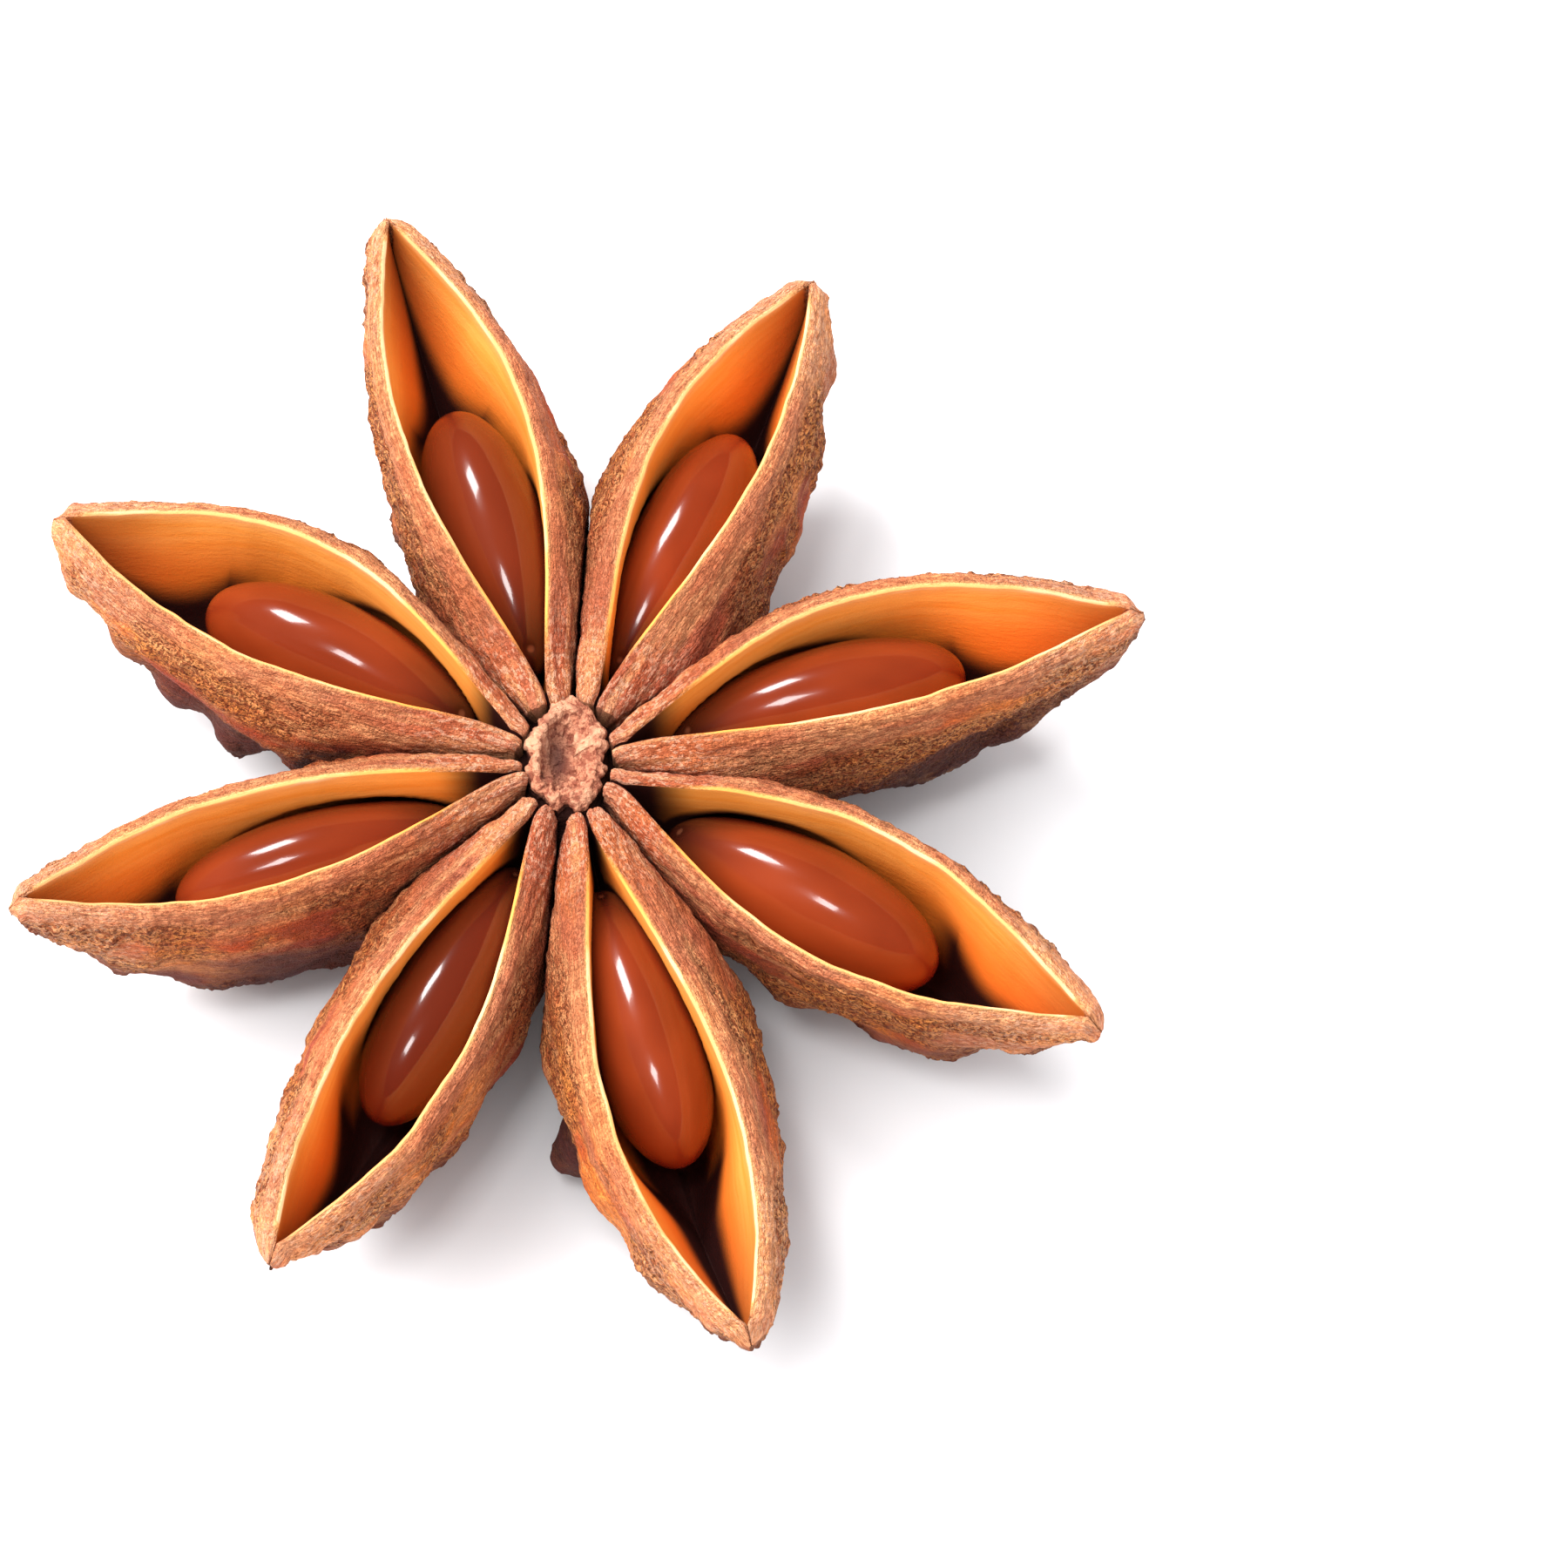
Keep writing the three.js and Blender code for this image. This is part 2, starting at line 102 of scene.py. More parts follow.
def soft_light(name, azimuth, elevation, distance, size, power, mirrored):
    """A square area light on a ray from the fruit, given by its two angles in degrees, that faces
    the fruit. It shows in reflections only when mirrored."""
    turn, rise = math.radians(azimuth), math.radians(elevation)
    data = bpy.data.lights.new(name, "AREA")
    data.shape = "SQUARE"
    data.size = size
    data.energy = power
    light = bpy.data.objects.new(name, data)
    flat = math.cos(rise)
    ray = Vector((flat * math.cos(turn), flat * math.sin(turn), math.sin(rise)))
    light.location = distance * ray
    light.rotation_euler = ray.to_track_quat("Z", "Y").to_euler()
    light.visible_glossy = mirrored
    bpy.context.scene.collection.objects.link(light)


for lamp in LAMPS:
    soft_light(*lamp)

world = bpy.data.worlds.new("light tent")
world.use_nodes = True
tent = world.node_tree.nodes["Background"]
tent.inputs["Color"].default_value = TENT_COLOUR
tent.inputs["Strength"].default_value = TENT_STRENGTH
world.cycles_visibility.glossy = False
bpy.context.scene.world = world
bpy.context.scene.view_settings.view_transform = "Standard"
print("lamps:", [name for name, *_ in LAMPS])

# %% [markdown]
# ## Floor
# The fruit lies on a plain white floor, one large square. It is the first use of `mesh_piece`,
# which turns an array of points and arrays of faces into a Blender object. Every piece below is
# made with it, so each has its place in its mesh and its object at the origin.

# %% Floor
FLOOR_HALF = 3000


def mesh_piece(name, points, faces):
    """Makes a mesh object from an array of points in millimetres and a list of arrays of faces."""
    mesh = bpy.data.meshes.new(name)
    rows = [face for block in faces for face in block.tolist()]
    mesh.from_pydata((points * MM).tolist(), [], rows)
    mesh.polygons.foreach_set("use_smooth", np.ones(len(mesh.polygons), bool))
    mesh.update()
    piece = bpy.data.objects.new(name, mesh)
    bpy.context.scene.collection.objects.link(piece)
    return piece


corners = np.array([[-1, -1, 0], [1, -1, 0], [1, 1, 0], [-1, 1, 0]]) * FLOOR_HALF
floor = mesh_piece("floor", corners, [np.array([[0, 1, 2, 3]])])
print("floor width, mm:", 2 * FLOOR_HALF)

# %% [markdown]
# ## The maths of rough skin
# A few small tools do all the shaping below. `smoothstep` fades from 0 to 1. `smooth_min` takes
# the smaller of two values but rounds the corner between them, and `bell` makes a soft bump.
# `lattice_noise` gives smooth randomness in space: every corner of a grid of cubes gets a random
# number, and a point inside a cube gets a blend of its eight corners. The random numbers come from
# a fixed seed, so the skin is the same at every run. Noise in space has no seam, however the
# surface is wrapped.

# %% Tools for rough skin
NOISE_TABLE = 4096
NOISE_PRIMES = (73856093, 19349663, 83492791)


def smoothstep(start, end, x):
    """0 before start, 1 after end, and an S curve between them."""
    t = np.clip((x - start) / (end - start), 0, 1)
    return t * t * (3 - 2 * t)


def smooth_min(a, b, rounding):
    """The smaller of a and b, less a quarter of the rounding where they are equal."""
    h = np.maximum(rounding - np.abs(a - b), 0) / rounding
    return np.minimum(a, b) - h * h * rounding / 4


def bell(x, middle, width):
    """1 at the middle, falling as e to the minus square of the distance over the width."""
    return np.exp(-(((x - middle) / width) ** 2))


def lattice_noise(place, cell, seed):
    """Smooth noise from -1 to 1 at an array of places: random numbers on the corners of cubes of
    one cell, blended along each axis with the fade 6t^5 - 15t^4 + 10t^3."""
    table = np.random.default_rng(seed).uniform(-1, 1, NOISE_TABLE)
    scaled = place / cell
    corner = np.floor(scaled).astype(np.int64)
    t = scaled - corner
    fade = t * t * t * (t * (t * 6 - 15) + 10)
    total = np.zeros(place.shape[:-1])
    for step in np.ndindex(2, 2, 2):
        hashed = np.zeros(place.shape[:-1], np.int64)
        weight = np.ones(place.shape[:-1])
        for axis in range(3):
            hashed ^= (corner[..., axis] + step[axis]) * NOISE_PRIMES[axis]
            weight *= fade[..., axis] if step[axis] else 1 - fade[..., axis]
        total += weight * table[hashed % NOISE_TABLE]
    return total


def fractal_noise(place, cell, octaves, seed):
    """A sum of noises, each with half the cell and half the height of the one before."""
    return sum(lattice_noise(place, cell / 2**n, seed + n) / 2**n for n in range(octaves))


def ridged_noise(place, cell, octaves, seed):
    """Sharp crests: 1 less twice the size of each noise, summed as fractal noise is."""
    layers = (np.abs(lattice_noise(place, cell / 2**n, seed + n)) for n in range(octaves))
    return sum((1 - 2 * layer) / 2**n for n, layer in enumerate(layers))


print("noise at one place:", lattice_noise(np.array([[0.3, 0.2, 0.1]]), 1.0, seed=1))

# %% [markdown]
# ## The sizes of the fruit
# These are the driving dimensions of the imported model, so that the fine surfaces lie where its
# solids do. Each carpel has a row of its own: the direction and reach of its mouth, how wide the
# mouth is and where, how it bows sideways, how fat its two walls are, how much higher each lip
# arches, how it leans, and where its seed lies. Real carpels differ like this, and a ring of eight
# equal ones would look like an ornament.

# %% The sizes of the fruit
RIM_HEIGHT = 7.0
LIP_ARCH = 0.55
BEAK_LENGTH = 0.5
SEED_LENGTH = 8.8
SEED_WIDTH = 3.4
SEED_HEIGHT = 4.2
SEED_TOP = 0.75  # from the highest level of the lips down to the top of a full seed
CARPEL_KEYS = ("azimuth", "reach", "mouth", "peak", "bend")
CARPEL_KEYS += ("left", "right", "lifts", "roll", "seed")
CARPEL_ROWS = [
    (15.5, 16.8, 1.69, 0.52, 0.57, 3.15, 2.75, (0.1, 0), 0, 7.65),
    (65.3, 16.6, 1.45, 0.57, 0.27, 3.15, 2.95, (0, 0.1), 0, 7.95),
    (107.5, 18.0, 1.72, 0.55, -0.18, 2.65, 3.05, (0.1, 0), 0, 8.2),
    (153.0, 16.4, 1.93, 0.54, -0.43, 3.6, 3.25, (0, 0.2), 0, 7.65),
    (196.7, 16.1, 1.47, 0.53, 0.25, 2.5, 2.8, (0, 0), -3, 7.45),
    (242.4, 17.2, 1.48, 0.55, 0.33, 2.45, 2.9, (0, 0.1), 5, 7.35),
    (286.4, 18.4, 1.68, 0.59, -0.23, 3.2, 2.9, (0, 0), -2, 7.85),
    (330.6, 17.0, 1.98, 0.51, -0.14, 3.0, 2.5, (0.1, 0), -5, 7.65),
]
CARPELS = [dict(zip(CARPEL_KEYS, row)) for row in CARPEL_ROWS]
LEFT, RIGHT = 1, -1
print(len(CARPELS), "carpels")

# %% [markdown]
# ## Crags
# The outer walls swell and sink in long uneven waves, as skin does that has dried over a woody
# shell. Noise would do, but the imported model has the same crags, so both draw them alike: nine sine
# waves a carpel, whose lengths, headings and phases come from a small generator of random numbers.

# %% Crags
CRAG_WAVES = 9
CRAG_HEIGHT = 0.17
CRAG_SHORTEST = 1.9
CRAG_LONGEST = 4.6
CRAG_SEED = 101
GENERATOR = (1664525, 1013904223, 2**32)  # factor, step and range of the random numbers


def crags_of(index):
    """The long waves over a carpel's outer walls: nine sine waves, each with a wavelength, a
    heading and a phase drawn by a small generator, summed and scaled to the height of a crag."""
    factor, step, span = GENERATOR
    state = CRAG_SEED + index
    draws = []
    for _ in range(3 * CRAG_WAVES):
        state = (state * factor + step) % span
        draws.append(state / span)
    waves = np.array(draws).reshape(CRAG_WAVES, 3)
    wavelength = CRAG_SHORTEST + (CRAG_LONGEST - CRAG_SHORTEST) * waves[:, 0]
    heading = math.pi * waves[:, 1]
    phase = 2 * math.pi * waves[:, 2]

    def crags(along, across):
        total = 0
        for length, way, start in zip(wavelength, heading, phase):
            distance = along * math.cos(way) + across * math.sin(way)
            total = total + np.sin(2 * math.pi * distance / length + start)
        return CRAG_HEIGHT * total / math.sqrt(CRAG_WAVES / 2)

    return crags


distances = np.array([4.0, 8.0, 12.0])
print("crags on wall 1 at", distances, "mm from the axis:", crags_of(0)(distances, 0.0).round(3))

# %% [markdown]
# ## Where a carpel starts
# Round the column the eight pairs of lips end like fingertips on an oval. A carpel therefore starts
# where a ray in its direction meets that oval. Starting them all at one distance would be simpler,
# but would leave a round hole about an oval column.

# %% Where a carpel starts
FINGER_RING = (1.18, 1.73)
FINGER_RING_CENTRE = (0.0, 0.04)


def inner_end_of(azimuth):
    """The distance at which a carpel starts: how far a ray from the axis runs before it meets the
    oval of finger ends, which is a quadratic equation in that distance."""
    angle = math.radians(azimuth)
    ray = np.array([math.cos(angle), math.sin(angle)]) / FINGER_RING
    centre = np.array(FINGER_RING_CENTRE) / FINGER_RING
    a, b, c = ray @ ray, -2 * ray @ centre, centre @ centre - 1
    return (-b + math.sqrt(b * b - 4 * a * c)) / (2 * a)


print("starts, mm:", [round(float(inner_end_of(carpel["azimuth"])), 2) for carpel in CARPELS])

# %% [markdown]
# ## One section of a carpel
# A carpel is a boat: a mouth on top, two outer walls that swell to a shoulder and run in to a keel,
# and a hollow with the seed in it. We cut it across at many distances from the axis. `section_at`
# works out, for all the distances at once, what belongs to a whole section: how wide the mouth is,
# how high the lips and the keel are, and how much the body has narrowed. The lips also wander a
# little, up and down and sideways, as dried lips do.

# %% Sections along a carpel
SEAM_LENGTH = 0.45
SEAM_HALF_WIDTH = 0.045
CLOSED_SHARE = 0.7
CLOSING = (0.25, 0.05)  # how far before and after its reach a mouth closes
MOUTH_FULLNESS = 2.5
END_DROP = 0.2
END_LENGTH = 0.3
BEAK_LIFT = 0.35
BEAK_LIFT_POWER = 6
BEAK_DROP = 0.55
BEAK_DEPTH = 0.4
BLUNT_EXTRA = 0.12
BLUNT_LENGTH = 0.4
TAPER_START = 8.5
TAPER_POWERS = (2.0, 0.72)
KEEL_LOWEST = 8.0
KEEL_DIP = -0.12
KEEL_BASE_RISE = 0.7
KEEL_SWEEP = 2.5
ROLL_RUN = (1.0, 3.6)
GROOVE_RUN = (10.5, 14)
CRAG_RUN = (3, 7)
CRAG_BEAK_SHARE = 0.4
CRAG_BEAK_LENGTH = 3
WANDER_HEIGHT = 0.045
WANDER_ACROSS = 0.05
WANDER_CELL = 1.6
WANDER_OCTAVES = 3
WANDER_SEEDS = (500, 10)  # the first carpel's seed, and the step to the next one's
WANDER_APART = (3.7, 11.3)  # how far apart in the noise two sides lie, and two purposes
WANDER_FREE = (0.6, 0.15)  # shares of the mouth over which it sets in and dies away
UPWARDS, SIDEWAYS = 0, 1


def wander(u, index, side, purpose):
    """Noise along a lip, with its own seed for each carpel and its own place in the noise for each
    side and purpose."""
    aside, aloft = WANDER_APART[0] * side, WANDER_APART[1] * purpose
    line = np.stack([u, np.full_like(u, aside), np.full_like(u, aloft)], axis=-1)
    seed = WANDER_SEEDS[0] + WANDER_SEEDS[1] * index
    return fractal_noise(line, WANDER_CELL, WANDER_OCTAVES, seed)


def section_at(index, u):
    """For a column of distances u: the mouth's half width rises and falls as powers of the share m
    of its length, the lips arch as a sine, and the keel is a parabola that sweeps up to the
    beak."""
    carpel = CARPELS[index]
    inner_end = inner_end_of(carpel["azimuth"])
    reach, peak = carpel["reach"], carpel["peak"]
    end = reach + BEAK_LENGTH
    start = inner_end + SEAM_LENGTH
    m = np.clip((u - start) / (reach - start), 0, 1)
    middle = np.sin(math.pi * m)
    rise = (m / peak) ** (MOUTH_FULLNESS * peak)
    fall = ((1 - m) / (1 - peak)) ** (MOUTH_FULLNESS * (1 - peak))
    closing = smoothstep(reach - CLOSING[0], reach + CLOSING[1], u)
    mouth = carpel["mouth"] * rise * fall + SEAM_HALF_WIDTH * (1 - CLOSED_SHARE * closing)
    narrowed = np.clip((u - TAPER_START) / (end + BLUNT_EXTRA - TAPER_START), 0, 1)
    blunt = np.sqrt(1 - np.clip((u - end + BLUNT_LENGTH) / BLUNT_LENGTH, 0, 1) ** 2)
    inner_drop = END_DROP * np.clip((inner_end + END_LENGTH - u) / END_LENGTH, 0, 1) ** 2
    lip = RIM_HEIGHT + LIP_ARCH * middle + BEAK_LIFT * m**BEAK_LIFT_POWER
    lip = lip - inner_drop - BEAK_DROP * smoothstep(reach, end, u)
    base = KEEL_BASE_RISE * (np.clip(KEEL_LOWEST - u, 0, None) / KEEL_LOWEST) ** 2
    sweep = np.clip((u - KEEL_LOWEST) / (end - KEEL_LOWEST), 0, 1) ** KEEL_SWEEP
    calm_beak = (1 - CRAG_BEAK_SHARE) * smoothstep(end - CRAG_BEAK_LENGTH, end, u)
    free = smoothstep(0, WANDER_FREE[0], m) * smoothstep(0, WANDER_FREE[1], 1 - m)
    section = {
        "u": u,
        "middle": middle,
        "centre": carpel["bend"] * middle,
        "body": (1 - narrowed ** TAPER_POWERS[0]) ** TAPER_POWERS[1] * blunt,
        "keel": KEEL_DIP + base + (RIM_HEIGHT - BEAK_DEPTH) * sweep,
        "groove": smoothstep(*GROOVE_RUN, u),
        "roll": math.radians(carpel["roll"]) * smoothstep(*ROLL_RUN, u),
        "crags": smoothstep(*CRAG_RUN, u) * (1 - calm_beak),
    }
    for side, lift in zip((LEFT, RIGHT), carpel["lifts"]):
        rising = WANDER_HEIGHT * wander(u, index, side, UPWARDS)
        section["lip", side] = lip + lift * middle + rising
        section["mouth", side] = mouth + WANDER_ACROSS * free * wander(u, index, side, SIDEWAYS)
    return section


half_way = section_at(0, np.array([[KEEL_LOWEST]]))
print("half width of mouth 1 over the keel, mm:", half_way["mouth", LEFT].round(2))

# %% [markdown]
# ## Outer walls
# Round a section, a point is given by its side and by a share of the way. On the outer wall the
# share runs from the lip's outer edge (0) to the keel (1). The wall swells out to a shoulder and
# runs in underneath. One carpel has a torn flap hanging from it, and two are scooped out below the
# shoulder. Every formula works on whole arrays: distances down the columns, shares along the rows.

# %% Outer walls
LIP_WIDTH = 0.42
LIP_BEVEL = 0.1
EDGE_LIMIT = 0.6
SHOULDER_DEPTH = 0.36
SHOULDER_POWER = 0.9
UNDERSIDE_POWERS = (1.6, 0.8)
CRAG_SHARES = (0.1, 0.7)
CRAG_KEEL_SHARE = 0.6
KEEL_BLEND_START = 0.85
KEEL_SAG_START = 0.5
KEEL_CALM_START = 0.94
FLAPS = {6: 1.3}  # how far a torn flap stands out, for the carpel that has one
FLAP_ALONG = (9.9, 1.3)  # distance from the axis, and half length
FLAP_DOWN = (0.74, 0.13)  # share of the wall, and half height
SCOOPS = {0: (RIGHT, 13, 2.2, 0.6), 3: (LEFT, 11.5, 3, 0.85)}  # side, distance, length and depth
SCOOP_DOWN = (0.42, 0.14)


def torn_and_scooped(index, side, u, share):
    """Out where a torn flap stands out of the wall, in where the wall is scooped out below its
    shoulder: each is a bell along the carpel times a bell down the wall."""
    pushed = np.zeros(np.broadcast_shapes(u.shape, share.shape))
    if side < 0 and index in FLAPS:
        pushed += FLAPS[index] * bell(u, *FLAP_ALONG) * bell(share, *FLAP_DOWN)
    if index in SCOOPS and SCOOPS[index][0] == side:
        _, distance, length, depth = SCOOPS[index]
        pushed -= depth * bell(u, distance, length) * bell(share, *SCOOP_DOWN)
    return pushed


def widths_at(index, section, side):
    """How far out the mouth, the outer edge of the lip and the shoulder are."""
    mouth = section["mouth", side]
    widest = CARPELS[index]["left" if side > 0 else "right"] * section["body"]
    return mouth, np.minimum(mouth + LIP_WIDTH, EDGE_LIMIT * (mouth + widest)), widest


def outer_wall(index, section, side, share, crags):
    """Out from the lip to the shoulder like a quarter of a sine wave, then in to the keel as
    (1 - x^1.6)^0.8. Crags push the wall out and in, more so lower down."""
    _, edge, widest = widths_at(index, section, side)
    u = section["u"]
    lip = section["lip", side] - LIP_BEVEL
    out = np.sin(math.pi / 2 * np.clip(share / SHOULDER_DEPTH, 0, 1)) ** SHOULDER_POWER
    below = np.clip((share - SHOULDER_DEPTH) / (1 - SHOULDER_DEPTH), 0, 1)
    under = (1 - below ** UNDERSIDE_POWERS[0]) ** UNDERSIDE_POWERS[1]
    across = np.where(share < SHOULDER_DEPTH, edge + (widest - edge) * out, widest * under)
    depth = share * (lip - section["keel"])
    rough = crags(u, side * (across + depth))
    keel_rough = crags(u, section["lip", LEFT] - LIP_BEVEL - section["keel"])
    rough = rough + (keel_rough - rough) * smoothstep(KEEL_BLEND_START, 1, share)
    relief = section["crags"] * rough * smoothstep(*CRAG_SHARES, share)
    relief = relief + torn_and_scooped(index, side, u, share)
    sag = CRAG_KEEL_SHARE * relief * smoothstep(KEEL_SAG_START, 1, share)
    pushed = across + relief * (1 - smoothstep(KEEL_CALM_START, 1, share))
    return side * pushed, depth + sag, lip


print("flaps on carpels", [index + 1 for index in FLAPS])
print("scoops on carpels", [index + 1 for index in SCOOPS])

# %% [markdown]
# ## Lips and hollows
# A lip is the cut edge of the shell, a narrow slope from the outer edge (share 0) to the inner one
# (share 1). The hollow runs from there (0) down to the floor (1): a rounded trough that narrows to
# a groove towards the beak. Where the seed lies the wall gives way, so that the seed sits in a nest
# of its own shape instead of cutting through the wall.

# %% Lips and hollows
LIP_CROWN = 0.05
LIP_INNER_DROP = 0.06
LIP_TURN_START = 0.75
HOLLOW_DEPTH = 5.7
HOLLOW_SHARE = 0.8
HOLLOW_LEAST = 0.12
HOLLOW_RUN_OUT = 0.36
TROUGH_POWERS = (3, 0.5)
GROOVE_POWER = 1.3
SEED_ROOM = 0.1
WIDE_MOUTH = 1.75
THIN_SEED = 0.55
BEND_SHARE = 0.9


def lip_top(index, section, side, share):
    """From the outer edge up to the inner edge: a straight slope with a low crown on it, which
    turns down over its last stretch."""
    mouth, edge, _ = widths_at(index, section, side)
    across = edge + (mouth - edge) * share
    turn = LIP_INNER_DROP * smoothstep(LIP_TURN_START, 1, share)
    crown = LIP_CROWN * np.sin(math.pi * share) - turn
    return side * across, LIP_BEVEL * (1 - share) - crown, section["lip", side]


def girth_of(carpel):
    """How thick a seed is, as a share of the full size: a narrow mouth holds a thin seed."""
    return THIN_SEED + (1 - THIN_SEED) * carpel["mouth"] / WIDE_MOUTH


def hollow_wall(index, section, side, share):
    """Down from the lip to the floor: a trough, (1 - x^3)^0.5, that becomes a wedge, 1 - x^1.3,
    towards the beak. Round the seed it gives way to an ellipsoid a little larger than the seed."""
    carpel = CARPELS[index]
    lip = section["lip", side]
    deep = HOLLOW_DEPTH * section["middle"] ** HOLLOW_RUN_OUT
    room = np.minimum(deep, HOLLOW_SHARE * (lip - section["keel"])) + HOLLOW_LEAST
    trough = (1 - share ** TROUGH_POWERS[0]) ** TROUGH_POWERS[1]
    wedge = 1 - share**GROOVE_POWER
    across = section["mouth", side] * (trough + (wedge - trough) * section["groove"])
    depth = LIP_INNER_DROP + share * (room - LIP_INNER_DROP)
    along = (section["u"] - carpel["seed"]) / (SEED_LENGTH / 2 + SEED_ROOM)
    down = (depth - SEED_TOP - SEED_HEIGHT / 2) / (SEED_HEIGHT / 2 + SEED_ROOM)
    seed_half = girth_of(carpel) * SEED_WIDTH / 2 + SEED_ROOM
    nest = seed_half * np.sqrt(np.clip(1 - along**2 - down**2, 0, None)) * (share < 1)
    aside = side * (BEND_SHARE * carpel["bend"] - section["centre"]) * (nest > 0)
    return side * np.maximum(across, nest + aside), depth, lip


print("thickness of the seeds:", [round(girth_of(carpel), 2) for carpel in CARPELS])

# %% [markdown]
# ## From rings to a closed surface
# A ring runs from the keel up the right wall, over the lip, down and up through the hollow, and
# down the left wall. The shares are packed closer at the lips, the floor and the keel, where the
# form turns quickly, so that few points are wasted on plain stretches.

# %% Half rings
OUTER_POINTS = 96
LIP_POINTS = 14
HOLLOW_POINTS = 44
OUTER_EASING = 0.85
HOLLOW_EASING = 0.6
WALL, LIP, HOLLOW = 0, 1, 2


def eased(count, strength):
    """Numbers from 0 to 1 that lie closer together at both ends: t less a share of a sine wave."""
    t = np.linspace(0, 1, count)
    return t - strength * np.sin(2 * math.pi * t) / (2 * math.pi)


def half_ring(index, section, side, crags):
    """One side of every ring, from the keel up over the lip and down to the hollow's floor, with a
    label for the zone of each point: outer wall, lip or hollow."""
    outer = 1 - eased(OUTER_POINTS, OUTER_EASING)[None, :]
    top = (np.arange(1, LIP_POINTS + 1) / LIP_POINTS)[None, :]
    hollow = eased(HOLLOW_POINTS + 1, HOLLOW_EASING)[None, 1:]
    parts = [
        outer_wall(index, section, side, outer, crags),
        lip_top(index, section, side, top),
        hollow_wall(index, section, side, hollow),
    ]
    parts = [np.broadcast_arrays(*part) for part in parts]
    across, depth, lip = (np.concatenate(values, axis=1) for values in zip(*parts))
    share = np.concatenate([outer, top, hollow], axis=1)
    zone = np.repeat([WALL, LIP, HOLLOW], [OUTER_POINTS, LIP_POINTS, HOLLOW_POINTS])[None, :]
    return {
        "across": across,
        "depth": depth,
        "lip": lip,
        "share": np.broadcast_to(share, across.shape),
        "zone": np.broadcast_to(zone, across.shape),
        "side": np.full(across.shape, side),
    }


print("points in a ring:", 2 * (OUTER_POINTS + LIP_POINTS + HOLLOW_POINTS) - 2)

# %% [markdown]
# ## Leaning, holding apart, and fingers
# Each ring is leaned by the carpel's roll and held between planes halfway to its neighbours, with a
# thin dark crack left between them, because real carpels are pressed together near the column.
# There each wall is squeezed into a narrow wedge, and its top is rounded like a finger. The fingers
# end a little unevenly.

# %% The grid of a carpel
STATIONS = 270
STATION_EASING = 0.5
CRACK_HALF = 0.03
CLAMP_ROUNDING = 0.3
FINGER_DROP = 0.26
FINGER_POWER = 4
FINGER_FADE = (2.5, 7.5)
FINGER_DEPTHS = (0.3, 1.3)
FINGER_RECESS = 0.11
FINGER_RECESS_LENGTH = 1.3
FINGER_RECESS_DEPTHS = (0.5, 2.5)
FINGER_END_ROUNDING = 0.14
FINGER_SEED = 81


def halfway(index, step):
    """The slope of the plane halfway to the next carpel (step 1) or to the one before (-1)."""
    here = CARPELS[index]["azimuth"]
    there = CARPELS[(index + step) % len(CARPELS)]["azimuth"]
    return math.tan(math.radians((step * (there - here)) % 360) / 2)


def carpel_grid(index):
    """All rings of a carpel as arrays, before the fine relief: places along, across and up."""
    carpel = CARPELS[index]
    crags = crags_of(index)
    inner_end = inner_end_of(carpel["azimuth"])
    end = carpel["reach"] + BEAK_LENGTH
    along = inner_end + (end - inner_end) * eased(STATIONS + 2, STATION_EASING)[1:-1]
    along = along[:, None]
    section = section_at(index, along)
    right = half_ring(index, section, RIGHT, crags)
    left = half_ring(index, section, LEFT, crags)
    ring = {}
    for key in right:
        ring[key] = np.concatenate([right[key], left[key][:, ::-1][:, 1:-1]], axis=1)
    cos, sin = np.cos(section["roll"]), np.sin(section["roll"])
    leant = section["centre"] + ring["across"] * cos - ring["depth"] * sin
    lowered = ring["depth"] * cos + ring["across"] * sin
    limit = np.where(leant > 0, halfway(index, 1), halfway(index, -1)) * along
    held = np.sign(leant) * smooth_min(np.abs(leant), limit - CRACK_HALF, CLAMP_ROUNDING)
    off_middle = np.abs(2 * np.abs(held) / limit - 1)
    rounding = FINGER_DROP * np.clip(off_middle, 0, 1) ** FINGER_POWER
    near_top = 1 - smoothstep(*FINGER_DEPTHS, ring["depth"])
    rounding *= (1 - smoothstep(*FINGER_FADE, along)) * near_top
    recess = FINGER_RECESS * np.random.default_rng(FINGER_SEED + index).uniform(0, 1, 2)
    uneven = np.where(ring["side"] > 0, recess[0], recess[1])
    uneven = uneven * (1 - smoothstep(*FINGER_RECESS_DEPTHS, ring["depth"]))
    near_end = 1 - smoothstep(0, FINGER_RECESS_LENGTH, along - inner_end)
    back = near_end * (uneven + FINGER_END_ROUNDING * np.clip(off_middle, 0, 1) ** 2)
    place = np.stack([along + back, held, ring["lip"] - lowered - rounding], axis=-1)
    ring["limit"] = np.broadcast_to(limit, held.shape)
    return place, ring


slopes = [round(halfway(index, 1), 3) for index in range(len(CARPELS))]
print("slopes of the planes to the next carpels:", slopes)

# %% [markdown]
# ## Coordinates and marks of the skin
# The bark has broad patches: two base colours, rosy and pale streaks, and granular cork. They are
# worked out here, once for each point, because the relief needs the cork as well as the material
# does. Most are noise in space, so they run on over the keel without a seam. The pale streaks and
# the wrinkles follow the lips instead, so they need coordinates that flow along the skin.

